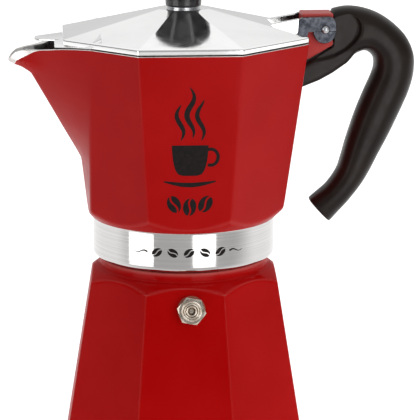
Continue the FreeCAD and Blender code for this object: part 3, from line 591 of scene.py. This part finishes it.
def collector_ring(level, inset):
    """Plan of the collector at a level: the octagon with the spout's two sides and ridge."""
    half = collector_half(level) - inset
    corner = half * math.tan(HALF_SIDE)
    share = 1 - SPOUT_SPREAD * max(0.0, (level - FOOT_LEVEL + 8) / (RIM - FOOT_LEVEL + 8))
    crease = Vector((-half * share, half * math.sqrt(2) - half * share))
    ridge = collector_half(level) + max(0.0, (level - SPOUT_FOOT) * (SPOUT_SLOPE - 0.134))
    tip = ridge - inset * 1.2
    corners = [Vector((half, corner)), Vector((corner, half)), Vector((-corner, half)), crease,
               Vector((-tip, 0)), Vector((crease.x, -crease.y)), Vector((-corner, -half)),
               Vector((corner, -half)), Vector((half, -corner))]
    sharp = smooth_step(SPOUT_FOOT - 4, SPOUT_FOOT + 14, level)
    cuts = [0.7, 0.7, 0.7, 1.4, 5.0 - 2.6 * sharp, 1.4, 0.7, 0.7, 0.7]
    spans = [12, 12, 14, 26, 26, 14, 12, 12, 12]
    ring = rounded_ring(corners, cuts, spans, level)
    flare = curve(NOSE_FLARE, level)
    for point in ring:
        if point.x < -40:
            nose = math.exp(-(point.y / 5.2) ** 2)
            point.x -= flare * nose * smooth_step(-40, -58, point.x)
    return ring


class RingStack:
    """Collector rings at close levels, from which any point of the wall is interpolated."""

    def __init__(self, inset):
        self.low = FOOT_LEVEL - 8
        self.step = 0.5
        count = int((RIM + 3 - self.low) / self.step)
        self.rings = [collector_ring(self.low + self.step * k, inset) for k in range(count + 1)]

    def point(self, index, level):
        place = (level - self.low) / self.step
        row = max(0, min(len(self.rings) - 2, int(place)))
        share = place - row
        return self.rings[row][index].lerp(self.rings[row + 1][index], share)

    def ring(self, level):
        return [self.point(index, level) for index in range(len(self.rings[0]))]

    def tops(self):
        """The lip's level at each point of the ring."""
        tops = []
        for index in range(len(self.rings[0])):
            low, high = RIM - 14.0, RIM
            for _ in range(16):
                level = (low + high) / 2
                if level < RIM - curve(LIP_DROP, -self.point(index, level).x):
                    low = level
                else:
                    high = level
            tops.append(high)
        return tops

    def part_way(self, start, tops, share, drop=0.0):
        return [self.point(index, start + (top - drop - start) * share) for index, top in enumerate(tops)]


def make_collector():
    outer, inner = RingStack(0.0), RingStack(WALL)
    pattern = outer.ring(FOOT_LEVEL)
    rings, slots = [], []

    def add(ring, slot):
        rings.append(ring)
        slots.append(slot)

    dish = PLATE_LEVEL + 4.0
    for radius, level in ((5.2, dish), (8.0, dish), (26.8, PLATE_LEVEL), (33.4, PLATE_LEVEL),
                          (34.0, PLATE_LEVEL - 0.5), (SKIRT_BORE, PLATE_LEVEL - 1.2)):
        add(round_ring(pattern, radius, level), 1)
    thread = thread_rings(pattern, SKIRT_BORE, SKIRT_BORE - 0.75, SKIRT_LEVEL + 1.6, BOILER_RIM - 1.0)
    for ring in reversed(thread):
        add(ring, 1)
    for radius, level in ((SKIRT_BORE + 0.1, SKIRT_LEVEL + 0.6), (SKIRT_BORE + 0.5, SKIRT_LEVEL + 0.05),
                          (SKIRT_BORE + 0.9, SKIRT_LEVEL), (SKIRT_RADIUS - 2.2, SKIRT_LEVEL)):
        add(round_ring(pattern, radius, level), 2)
    for step in range(1, 9):
        angle = math.radians(90 * step / 8)
        radius = SKIRT_RADIUS - 2.2 * (1 - math.sin(angle))
        add(round_ring(pattern, radius, SKIRT_LEVEL + 2.2 * (1 - math.cos(angle))), 2)
    for level in (100.0, 104.0, 108.0, SKIRT_TOP - 0.8, SKIRT_TOP - 0.25):
        add(round_ring(pattern, SKIRT_RADIUS, level), 2)
    add(round_ring(pattern, SKIRT_RADIUS + 0.05, SKIRT_TOP), 3)
    add(round_ring(pattern, SKIRT_RADIUS + 0.35, SKIRT_TOP + 0.2), 0)
    for step in range(1, 27):
        level = SKIRT_TOP + 0.2 + 0.5 * step
        cone = SKIRT_RADIUS + 0.35 + 0.5 * step * 1.05
        add(trim_ring(outer.ring(level), cone, 0.6), 0)
    start = SKIRT_TOP + 0.2 + 0.5 * 26
    tops = outer.tops()
    paint = [top - curve(LIP_BARE, -outer.point(i, top).x) for i, top in enumerate(tops)]
    rows = 46
    for row in range(1, rows + 1):
        share = row / rows
        share = 1 - (1 - share) ** 1.35
        add(outer.part_way(start, paint, share), 0 if row < rows else 3)
    for share in (0.3, 0.6, 0.85):
        levels = [low + (top - 0.12 - low) * share for low, top in zip(paint, tops)]
        add([outer.point(i, level) for i, level in enumerate(levels)], 3)
    edge = outer.part_way(start, tops, 1.0, 0.12)
    inside = inner.part_way(start, tops, 1.0)
    add([a.lerp(b, 0.08) for a, b in zip(edge, inside)], 3)
    for share, lift in ((0.2, 0.0), (0.5, 0.03), (0.85, 0.0)):
        top_ring = [outer.point(i, top).lerp(inside[i], share) for i, top in enumerate(tops)]
        add([Vector((p.x, p.y, top + lift)) for p, top in zip(top_ring, tops)], 3)
    inner_tops = [top - 0.35 for top in tops]
    rows = 40
    for row in range(rows + 1):
        share = 1 - row / rows
        add(inner.part_way(CHAMBER_FLOOR + 2.0, inner_tops, share), 1)
    for inset, level in ((0.5, 1.1), (1.4, 0.4), (2.6, 0.0)):
        ring = RingStack.ring(inner, CHAMBER_FLOOR + level)
        scale = 1 - inset / 38
        add([Vector((p.x * scale, p.y * scale, CHAMBER_FLOOR + level)) for p in ring], 1)
    for radius in (30.0, 16.0, 8.0, 5.2):
        add(round_ring(pattern, radius, CHAMBER_FLOOR), 1)
    piece = skin("collector_vessel", rings, slots, closed=True)
    # Inner faces past x = -60 mm, inside the spout, take slot 4, a paler copy of the metal: painted light on
    # the spout's shaded inside.
    for face in piece.data.polygons:
        if face.material_index == 1 and face.center.x < -60 * MM:
            face.material_index = 4
    wear(piece, RED, CAST, BAND, EDGE, SPOUT_INSIDE_LIT)
    even_normals(piece)
    finish_piece(piece, "collector", "red_enamel", "collector")

    points = [(47.6, LUG_TOP), (60.4, LUG_TOP), (60.4, RIM - 2.9), (51.5, RIM - 8.1), (45.4, RIM - 11.0),
              (46.0, RIM - 1.0), (47.6, RIM - 0.5)]
    lug = slab("hinge_lug", points, -LUG_HALF, LUG_HALF)
    round_edges(lug, 0.7, 4)
    wear(lug, RED)
    finish_piece(lug, "collector", "red_enamel")
    return piece


# ---------------------------------------------------------------- lid

def make_lid():
    slope = (LID_TOP - LID_EDGE) / (RIM_HALF - 10.0)
    rings = []
    under = 1.6

    def roof(half, drop=0.0):
        return LID_EDGE + (RIM_HALF - half) * slope - drop

    for half in (3.0, 9.4):
        rings.append(octagon_ring(half, LID_TOP - under, 0.3))
    for half in (20.0, 34.0, 46.5):
        rings.append(octagon_ring(half, roof(half, under), 0.5))
    for half, level in ((47.1, LID_EDGE - 1.5), (47.2, LID_FOOT + 0.2), (47.4, LID_FOOT), (48.6, LID_FOOT),
                        (48.92, LID_FOOT + 0.12), (49.0, LID_FOOT + 0.4), (49.0, LID_EDGE - 0.5),
                        (48.93, LID_EDGE - 0.2), (48.75, LID_EDGE - 0.04), (48.4, LID_EDGE + 0.12)):
        rings.append(octagon_ring(half, level, 0.6))
    for half in (47.6, 44.0, 34.0, 24.0, 14.0, 10.6):
        rings.append(octagon_ring(half, roof(half), 0.45))
    rings.append(octagon_ring(10.2, LID_TOP - 0.02, 0.4))
    rings.append(octagon_ring(9.6, LID_TOP, 0.4))
    rings.append(octagon_ring(3.0, LID_TOP, 0.3))
    piece = skin("lid_roof", rings)

    opening = [(45.2, LID_FOOT - 5), (60, LID_FOOT - 5), (60, LID_TOP + 5), (45.2, LID_TOP + 5)]
    notch = slab("notch_cutter", opening, -(LUG_HALF + 0.5), LUG_HALF + 0.5)
    cut = piece.modifiers.new("notch", "BOOLEAN")
    cut.object = notch
    cut.operation = "DIFFERENCE"
    cut.solver = "EXACT"
    apply_modifiers(piece)
    bpy.data.objects.remove(notch)
    even_normals(piece)
    wear(piece, POLISHED)
    finish_piece(piece, "lid", "polished_aluminium", "lid")

    make_beak(roof)
    make_ears(roof)


def tongue(name, stations, softness):
    """A closed bar of the lid's metal through matching rows of points."""
    bm = bmesh.new()
    rows = [[bm.verts.new(point) for point in station] for station in stations]
    for low, high in zip(rows, rows[1:]):
        for index in range(len(low)):
            after = (index + 1) % len(low)
            bm.faces.new((low[index], low[after], high[after], high[index]))
    bm.faces.new(rows[0])
    bm.faces.new(rows[-1])
    piece = new_piece(name, bm)
    round_edges(piece, softness, 3, 40)
    wear(piece, POLISHED)
    finish_piece(piece, "lid", "polished_aluminium")


def make_beak(roof):
    """The roof-shaped tongue that covers the spout, with skirts that come down to the lip, and its nose."""
    root, root_edge = 34.0, roof(42.0) + 0.2
    # reach, half width, ridge level over the edge, edge level, thickness
    stations = [(root, 30.6, roof(root) + 0.1 - root_edge, root_edge, 1.5), (38.4, 30.2, 1.3, RIM + 2.3, 1.9),
                (44.0, 23.0, 1.8, RIM + 0.9, 1.1), (49.0, 18.0, 1.5, RIM + 0.3, 1.1),
                (52.4, 14.4, 1.3, RIM + 0.0, 1.3)]
    rows = []
    for reach, half, rise, edge, thickness in stations:
        row = [(-reach, -half, edge), (-reach, -half * 0.5, edge + rise * 0.55), (-reach, 0, edge + rise),
               (-reach, half * 0.5, edge + rise * 0.55), (-reach, half, edge)]
        spread = 1 + 2.2 / half
        rows.append(row + [(x, y * spread, z - thickness) for x, y, z in reversed(row)])
    tongue("lid_beak", rows, 0.3)

    rows = []
    for reach, half, ridge, edge in ((48.0, 8.8, RIM + 1.9, RIM + 1.3), (53.0, 8.2, RIM + 1.4, RIM + 0.9),
                                     (58.4, 4.8, RIM + 1.1, RIM + 0.7), (60.0, 3.4, RIM + 0.9, RIM + 0.6),
                                     (60.4, 2.8, RIM + 0.8, RIM + 0.6)):
        row = [(-reach, -half, edge), (-reach, 0, ridge), (-reach, half, edge)]
        rows.append(row + [(x, y, z - 0.9) for x, y, z in reversed(row)])
    tongue("lid_nose", rows, 0.35)


def make_ears(roof):
    inner = LUG_HALF + 0.5
    outer = inner + 2.6
    top = LUG_TOP - 1.2
    for side, name in ((-1, "near"), (1, "far")):
        block = [(45.6, roof(44.0) - 1.6), (45.8, top - 0.9), (47.6, top - 0.1), (49.0, top)]
        block += [(PIN.x + 2.2, top + 0.2)] + arc((PIN.x + 1.6, top - 2.2), 2.4, 75, 5, 5)
        block += [(PIN.x + 4.3, PIN.z - 0.6), (PIN.x - 7.0, PIN.z - 0.9), (49.6, LID_FOOT + 0.6),
                  (46.0, LID_FOOT + 0.4)]
        low, high = sorted((side * inner, side * outer))
        ear = slab(f"ear_block_{name}", block, low, high)
        round_edges(ear, 0.35, 3)
        wear(ear, EAR)
        finish_piece(ear, "lid", "polished_aluminium")

        boss = arc((PIN.x - 0.3, PIN.z - 1.1), 4.6, 5, -185, 22)
        low, high = sorted((side * inner, side * (outer - 0.35)))
        knuckle = slab(f"ear_knuckle_{name}", boss, low, high)
        round_edges(knuckle, 0.3, 3)
        wear(knuckle, EAR)
        finish_piece(knuckle, "lid", "polished_aluminium")

        rib = [(33.5, roof(33.5) - 0.3), (46.2, top - 0.5), (46.2, roof(46.2) - 1.0)]
        for number, reach in enumerate((outer - 1.3, inner)):
            low, high = sorted((side * reach, side * (reach + 1.3)))
            piece = slab(f"ear_rib_{name}_{number}", rib, low, high)
            round_edges(piece, 0.25, 3)
            wear(piece, POLISHED)
            finish_piece(piece, "lid", "polished_aluminium")


def make_hinge_pin():
    """The pin, peened over to a small dome at each end."""
    half = LUG_HALF + 3.1
    profile = [(0.02, -half - 0.9), (0.7, -half - 0.8), (1.3, -half - 0.5), (PIN_HEAD, -half - 0.05),
               (1.6, -half), (1.6, half), (PIN_HEAD, half + 0.05), (1.3, half + 0.5), (0.7, half + 0.8),
               (0.02, half + 0.9)]
    rings = []
    turns = [2 * math.pi * step / 40 for step in range(40)]
    for radius, along in profile:
        rings.append([Vector((PIN.x + radius * math.cos(a), along, PIN.z + radius * math.sin(a)))
                      for a in turns])
    piece = skin("hinge_rod", rings)
    wear(piece, STEEL)
    return finish_piece(piece, "collector", "steel", "hinge_pin")


def make_knob():
    foot = knob_low.z
    height = knob_high.z - foot
    top = 12.0
    profile = [(0.0, 0.0), (6.2, 0.0), (6.9, 0.1), (7.25, 0.5), (7.3, 1.1), (7.32, 2.0), (7.5, 3.2),
               (7.95, 4.6), (8.6, 6.2), (9.5, 8.0), (10.4, 9.9), (11.2, 11.8), (11.8, 13.6),
               (top, 15.0), (11.95, 16.1), (11.55, 17.2), (10.7, 18.2), (9.2, 19.0), (7.0, 19.55),
               (4.0, 19.88), (1.5, 19.98), (0.0, 20.0)]
    pattern = octagon_ring(10, 0, 1.6, 8)
    rings = []
    for radius, rise in profile:
        facet = smooth_step(2.4, 6.0, rise) * (1 - smooth_step(16.6, 18.6, rise))
        level = foot + rise * height / 20
        ring = []
        for point in pattern:
            direction = Vector((point.x, point.y)).normalized()
            flat_reach = math.hypot(point.x, point.y) / (10 * CORNER) * 1.02
            reach = max(radius, 0.02) * (1 - facet + facet * flat_reach)
            ring.append(Vector((direction.x * reach, direction.y * reach, level)))
        rings.append(ring)
    piece = skin("knob_grip", rings)
    smooth = piece.modifiers.new("smooth", "SUBSURF")
    smooth.levels = 1
    smooth.render_levels = 1
    wear(piece, KNOB)
    return finish_piece(piece, "lid", "dark_plastic", "lid_knob")


# ---------------------------------------------------------------- handle

def make_handle():
    """A moulded grip: oval sections along a curved spine, a head at the lug and a toe under it."""
    # centre X and Z, thickness along the spine's normal, direction of the spine, width
    stations = [
        (56.0, 111.8, 12.8, 43, 14.6), (59.6, 115.4, 12.0, 46, 15.4), (63.6, 119.4, 11.4, 50, 16.2),
        (68.2, 125.8, 11.9, 59, 16.8), (70.9, 131.6, 13.2, 66, 17.4), (73.4, 138.2, 14.6, 68, 17.8),
        (75.9, 144.3, 15.8, 68, 18.2), (78.3, 150.2, 16.6, 68, 18.6), (82.0, 158.9, 17.0, 69, 18.9),
        (84.4, 164.6, 16.9, 74, 19.0), (85.9, 170.0, 16.7, 86, 19.0), (86.0, 175.0, 16.6, 103, 19.0),
        (84.3, 179.6, 15.9, 122, 19.0), (81.0, 183.3, 15.4, 140, 19.0), (76.6, 186.0, 16.2, 157, 18.8),
        (71.6, 186.6, 18.9, 172, 18.4), (66.4, 185.8, 21.8, 181, 18.0), (60.9, 183.9, 23.4, 184, 17.6),
    ]
    around = 48
    rings = []
    for x, z, thickness, angle, width in stations:
        direction = math.radians(angle)
        normal = Vector((-math.sin(direction), 0, math.cos(direction)))
        ring = []
        for step in range(around):
            turn = 2 * math.pi * step / around
            c, s = math.cos(turn), math.sin(turn)
            power = 0.86
            ring.append(Vector((x, 0, z)) + normal * (thickness / 2 * math.copysign(abs(c) ** power, c))
                        + Vector((0, width / 2 * math.copysign(abs(s) ** power, s), 0)))
        rings.append(ring)
    piece = skin("hand_grip", smooth_rings(rings, 5))

    toe = slab("toe", [(60.7, RIM - 2.0), (60.7, RIM - 3.4), (51.9, RIM - 8.7), (47.6, RIM - 11.0),
                       (46.0, RIM - 14.0), (46.4, RIM - 20.6), (55.0, RIM - 17.2), (60.4, RIM - 14.2),
                       (66.4, RIM - 10.0), (71.0, RIM - 4.4), (66.0, RIM + 2.0)], -7.6, 7.6)
    bevel = toe.modifiers.new("soft", "BEVEL")
    bevel.width = 2.4 * MM
    bevel.segments = 5
    bevel.limit_method = "ANGLE"
    bevel.angle_limit = math.radians(60)
    apply_modifiers(toe)
    bpy.ops.object.select_all(action="DESELECT")
    piece.select_set(True)
    toe.select_set(True)
    bpy.context.view_layer.objects.active = piece
    bpy.ops.object.join()
    remesh = piece.modifiers.new("one_skin", "REMESH")
    remesh.mode = "VOXEL"
    remesh.voxel_size = 0.55 * MM
    remesh.use_smooth_shade = True
    soften = piece.modifiers.new("soften", "SMOOTH")
    soften.factor = 0.5
    soften.iterations = 8
    apply_modifiers(piece)
    scallop(piece)
    settle = piece.modifiers.new("settle", "SMOOTH")
    settle.factor = 0.5
    settle.iterations = 2
    apply_modifiers(piece)
    piece.data.polygons.foreach_set("use_smooth", [True] * len(piece.data.polygons))
    piece.name = "hand_grip"
    wear(piece, PLASTIC)
    return finish_piece(piece, "collector", "dark_plastic", "handle")


def smooth_rings(rings, steps):
    """More rings between the given ones, on Catmull-Rom curves."""
    dense = []
    last = len(rings) - 1
    for index in range(last):
        a, b, c, e = (rings[max(0, index - 1)], rings[index], rings[index + 1], rings[min(last, index + 2)])
        for step in range(steps):
            t = step / steps
            row = []
            for p0, p1, p2, p3 in zip(a, b, c, e):
                row.append(0.5 * ((2 * p1) + (p2 - p0) * t + (2 * p0 - 5 * p1 + 4 * p2 - p3) * t * t
                                  + (3 * p1 - p0 - 3 * p2 + p3) * t ** 3))
            dense.append(row)
    dense.append(rings[-1])
    return dense


def scallop(piece):
    """Press the head's two sides in where the lid's ears swing, up to a soft curved step."""
    centre = Vector((58.6, 185.6))
    long_axis = Vector((math.cos(math.radians(24)), math.sin(math.radians(24))))
    wide_axis = Vector((-long_axis.y, long_axis.x))
    for vertex in piece.data.vertices:
        x, y, z = vertex.co / MM
        offset = Vector((x, z)) - centre
        along = offset.dot(long_axis)
        across = offset.dot(wide_axis)
        reach = 13.8 if along > 0 else 16.0
        size = math.hypot(along / reach, across / 8.8)
        inside = 1 - smooth_step(0.93, 1.01, size)
        limit = LUG_HALF + 0.35
        if abs(y) > limit and inside > 0:
            pressed = limit + (abs(y) - limit) * (1 - inside)
            vertex.co.y = math.copysign(pressed, y) * MM


# ---------------------------------------------------------------- printed ornament

def print_piece(name, shapes, place, body):
    """Flat shapes, given as outlines in millimetres, laid on a surface by place(u, v)."""
    bm = bmesh.new()
    for shape in shapes:
        front = [bm.verts.new(place(u, v, 0.06)) for u, v in shape]
        back = [bm.verts.new(place(u, v, 0.0)) for u, v in shape]
        bm.faces.new(front)
        bm.faces.new(list(reversed(back)))
        for index in range(len(shape)):
            after = (index + 1) % len(shape)
            bm.faces.new((front[index], back[index], back[after], front[after]))
    bmesh.ops.triangulate(bm, faces=[face for face in bm.faces if len(face.verts) > 4])
    piece = new_piece(name, bm, smooth=False)
    wear(piece, INK)
    return finish_piece(piece, body, "red_enamel")


def on_front(u, v, lift):
    """A point on the collector's front flat, u across and v up from the foot."""
    level = FOOT_LEVEL + v
    return Vector((u, -(collector_half(level) + lift), level))


def on_band(u, v, lift):
    """A point on the round skirt, u along its curve from the front."""
    radius = SKIRT_RADIUS + lift
    angle = u / SKIRT_RADIUS
    return Vector((radius * math.sin(angle), -radius * math.cos(angle), SKIRT_LEVEL + v))


def stroke(points, widths):
    """A ribbon along points, with a width at each."""
    left, right = [], []
    for index, (x, y) in enumerate(points):
        before = points[max(0, index - 1)]
        after = points[min(len(points) - 1, index + 1)]
        along = Vector((after[0] - before[0], after[1] - before[1])).normalized()
        half = widths[index] / 2
        left.append((x - along.y * half, y + along.x * half))
        right.append((x + along.y * half, y - along.x * half))
    shapes = []
    for index in range(len(points) - 1):
        shapes.append([left[index], right[index], right[index + 1], left[index + 1]])
    return shapes


def wave(x, low, high, swing, width, turns=1.25, steps=26):
    """A wisp of steam that swells in its middle."""
    points, widths = [], []
    for step in range(steps + 1):
        share = step / steps
        level = low + (high - low) * share
        points.append((x + swing * math.sin((level - 35.0) / 18.0 * turns * 2 * math.pi), level))
        widths.append(0.25 + width * math.sin(math.pi * share) ** 0.8)
    return stroke(points, widths)


def bean(x, y, long, wide, tilt):
    """A coffee bean: two half ovals with a curved split between them."""
    shapes = []
    cosine, sine = math.cos(math.radians(tilt)), math.sin(math.radians(tilt))
    steps = 20
    for side in (-1, 1):
        edge, split = [], []
        for step in range(steps + 1):
            share = step / steps
            v = long * (share - 0.5)
            u = side * wide / 2 * math.sqrt(max(0.0, 1 - (2 * share - 1) ** 2))
            mid = 0.10 * wide * math.sin(2 * math.pi * share) + side * 0.07 * wide
            edge.append((u if abs(u) > abs(mid) else mid, v))
            split.append((mid, v))
        for index in range(steps):
            quad = [edge[index], edge[index + 1], split[index + 1], split[index]]
            shapes.append([(x + u * cosine - v * sine, y + u * sine + v * cosine) for u, v in quad])
    return shapes


def make_prints():
    """A plain cup with steam and beans, and a row of beans on the skirt, in place of any mark."""
    shapes = []
    shapes += wave(-4.0, 35.5, 50.0, 1.4, 1.6)
    shapes += wave(0.0, 36.5, 57.0, 1.4, 1.9)
    shapes += wave(4.0, 35.5, 52.0, 1.4, 1.6)
    cup_steps = 24
    left = []
    for step in range(cup_steps + 1):
        share = step / cup_steps
        left.append((7.2 * (1 - share) ** 0.42 + 2.6 * share, 33.5 - 12.5 * share))
    for (u0, v0), (u1, v1) in zip(left, left[1:]):
        shapes.append([(-u0, v0), (u0, v0), (u1, v1), (-u1, v1)])
    ring = [(8.1 + 2.9 * math.cos(a), 28.6 + 3.3 * math.sin(a))
            for a in [math.radians(-112 + 224 * step / 22) for step in range(23)]]
    shapes += stroke(ring, [1.3] * len(ring))
    saucer = [(-10.2 + 20.4 * step / 24, 18.7 - 1.5 * math.sin(math.pi * step / 24)) for step in range(25)]
    shapes += stroke(saucer, [0.5 + 1.4 * math.sin(math.pi * step / 24) for step in range(25)])
    shapes += bean(-6.2, 9.2, 7.4, 5.2, 24)
    shapes += bean(0.0, 8.0, 7.4, 5.2, -8)
    shapes += bean(6.2, 9.2, 7.4, 5.2, -30)
    print_piece("front_print", shapes, on_front, "collector")

    shapes = []
    for number in range(5):
        shapes += bean(-13.0 + 6.5 * number, 8.4, 4.6, 3.2, 58 if number % 2 else 122)
    for side in (-1, 1):
        line = [(side * (17.0 + 6.0 * step / 10), 8.4 + 0.5 * math.sin(step / 10 * 2 * math.pi))
                for step in range(11)]
        shapes += stroke(line, [0.75 * (1 - step / 12) for step in range(11)])
    print_piece("band_print", shapes, on_band, "collector")


# ---------------------------------------------------------------- carried-over pieces

def dress_nodes():
    """Give each CAD node that stays visible its own material."""
    looks = {"valve_body": NICKEL, "valve_plunger": NICKEL, "valve_retainer": NICKEL, "valve_spring": STEEL,
             "valve_seal": FIBRE, "funnel_basket": CAST, "funnel_strainer": CAST, "funnel_tube": CAST,
             "gasket": RUBBER, "filter_plate": CAST, "riser_column": CAST, "hinge_pin": STEEL,
             "knob_washer": STEEL, "knob_screw": STEEL, "handle_screw": STEEL, "boiler": BOILER_RED,
             "collector": RED, "lid": POLISHED, "lid_knob": KNOB, "handle": PLASTIC}
    for name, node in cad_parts.items():
        if not node.material_slots:
            node.data.materials.append(looks[name])
        for slot in node.material_slots:
            slot.material = looks[name]


# ---------------------------------------------------------------- stage, light and camera

def make_stage():
    bm = bmesh.new()
    bmesh.ops.create_grid(bm, x_segments=1, y_segments=1, size=6000)
    floor = new_piece("floor", bm, smooth=False)
    floor.location.z = -0.0002
    material, surface = shader("pale_floor", (0.86, 0.86, 0.86), 0.9)
    # Painted light: the floor glows by itself, faint in front and strong behind the pot, so the floor there
    # reads white and the pot's shadow is washed out.
    surface.inputs["Emission Color"].default_value = (1, 1, 1, 1)
    place = material.node_tree.nodes.new("ShaderNodeTexCoord")
    split = material.node_tree.nodes.new("ShaderNodeSeparateXYZ")
    painted_floor_glow = material.node_tree.nodes.new("ShaderNodeMapRange")
    painted_floor_glow.interpolation_type = "SMOOTHSTEP"
    painted_floor_glow.inputs["From Min"].default_value = -0.25
    painted_floor_glow.inputs["From Max"].default_value = 0.05
    painted_floor_glow.inputs["To Min"].default_value = 0.06
    painted_floor_glow.inputs["To Max"].default_value = 0.72
    material.node_tree.links.new(place.outputs["Object"], split.inputs["Vector"])
    material.node_tree.links.new(split.outputs["Y"], painted_floor_glow.inputs["Value"])
    material.node_tree.links.new(painted_floor_glow.outputs["Result"], surface.inputs["Emission Strength"])
    wear(floor, material)


def make_world():
    """A pale studio: bright overhead and behind, quieter at the horizon in front."""
    world = bpy.data.worlds.new("studio")
    world.use_nodes = True
    bpy.context.scene.world = world
    nodes, links = world.node_tree.nodes, world.node_tree.links
    background = nodes["Background"]
    place = nodes.new("ShaderNodeTexCoord")
    split = nodes.new("ShaderNodeSeparateXYZ")
    links.new(place.outputs["Generated"], split.inputs["Vector"])

    def rise(source, low, high, bottom, top):
        spread = nodes.new("ShaderNodeMapRange")
        spread.interpolation_type = "SMOOTHSTEP"
        spread.inputs["From Min"].default_value = low
        spread.inputs["From Max"].default_value = high
        spread.inputs["To Min"].default_value = bottom
        spread.inputs["To Max"].default_value = top
        links.new(split.outputs[source], spread.inputs["Value"])
        return spread.outputs["Result"]

    overhead = rise("Z", 0.0, 0.7, 0.15, 0.52)
    behind = rise("Y", 0.0, 0.7, 0.0, 0.50)
    sideways = rise("X", -0.8, 0.2, -0.08, 0.0)
    total = None
    for share in (behind, sideways):
        add = nodes.new("ShaderNodeMath")
        add.operation = "ADD"
        links.new(total or overhead, add.inputs[0])
        links.new(share, add.inputs[1])
        total = add.outputs["Value"]
    links.new(total, background.inputs["Strength"])
    background.inputs["Color"].default_value = (1, 1, 1, 1)


def strip_light(name, azimuth, distance, width, height, level, radiance):
    """A tall light at an azimuth from the front, in degrees towards +X, seen only in polished metal."""
    light = bpy.data.lights.new(name, "AREA")
    light.shape = "RECTANGLE"
    light.size = width
    light.size_y = height
    light.energy = radiance * math.pi * width * height
    lamp = bpy.data.objects.new(name, light)
    bpy.context.collection.objects.link(lamp)
    angle = math.radians(azimuth)
    lamp.location = (distance * math.sin(angle), -distance * math.cos(angle), level)
    aim = Vector((0, 0, level)) - lamp.location
    lamp.rotation_euler = aim.to_track_quat("-Z", "Y").to_euler()
    lamp.visible_diffuse = False


def front_light(name, azimuth, distance, size, level, radiance):
    """A broad weak light that lifts the front and right facets and leaves no reflection."""
    strip_light(name, azimuth, distance, size, size, level, radiance)
    lamp = bpy.data.objects[name]
    lamp.visible_diffuse = True
    lamp.visible_glossy = False


def make_camera():
    """The camera stands in front, a little to the spout's side and above, and looks down at the pot."""
    camera = bpy.data.cameras.new("camera")
    camera.sensor_width = 36.0
    camera.lens = 191.7
    camera.shift_x = 0.0633
    camera.clip_end = 50.0
    holder = bpy.data.objects.new("camera", camera)
    bpy.context.collection.objects.link(holder)
    distance, azimuth, height, pitch = 0.900, 3.46, 0.3214, 13.08
    turn = math.radians(azimuth)
    holder.location = (-distance * math.sin(turn), -distance * math.cos(turn), height)
    holder.rotation_euler = (math.radians(90 - pitch), 0, -turn)
    bpy.context.scene.camera = holder


make_camera()
make_boiler()
make_valve_rings()
make_collector()
make_lid()
make_hinge_pin()
make_knob()
make_handle()
make_prints()
dress_nodes()
make_stage()
make_world()
strip_light("strip_left", -55.4, 0.367, 0.220, 0.34, 0.17, 2.1)
strip_light("strip_right", 21.6, 0.369, 0.183, 0.34, 0.17, 2.1)
front_light("front_fill", 24.0, 1.5, 1.0, 0.55, 2.2)
bpy.context.scene.view_settings.view_transform = "Standard"
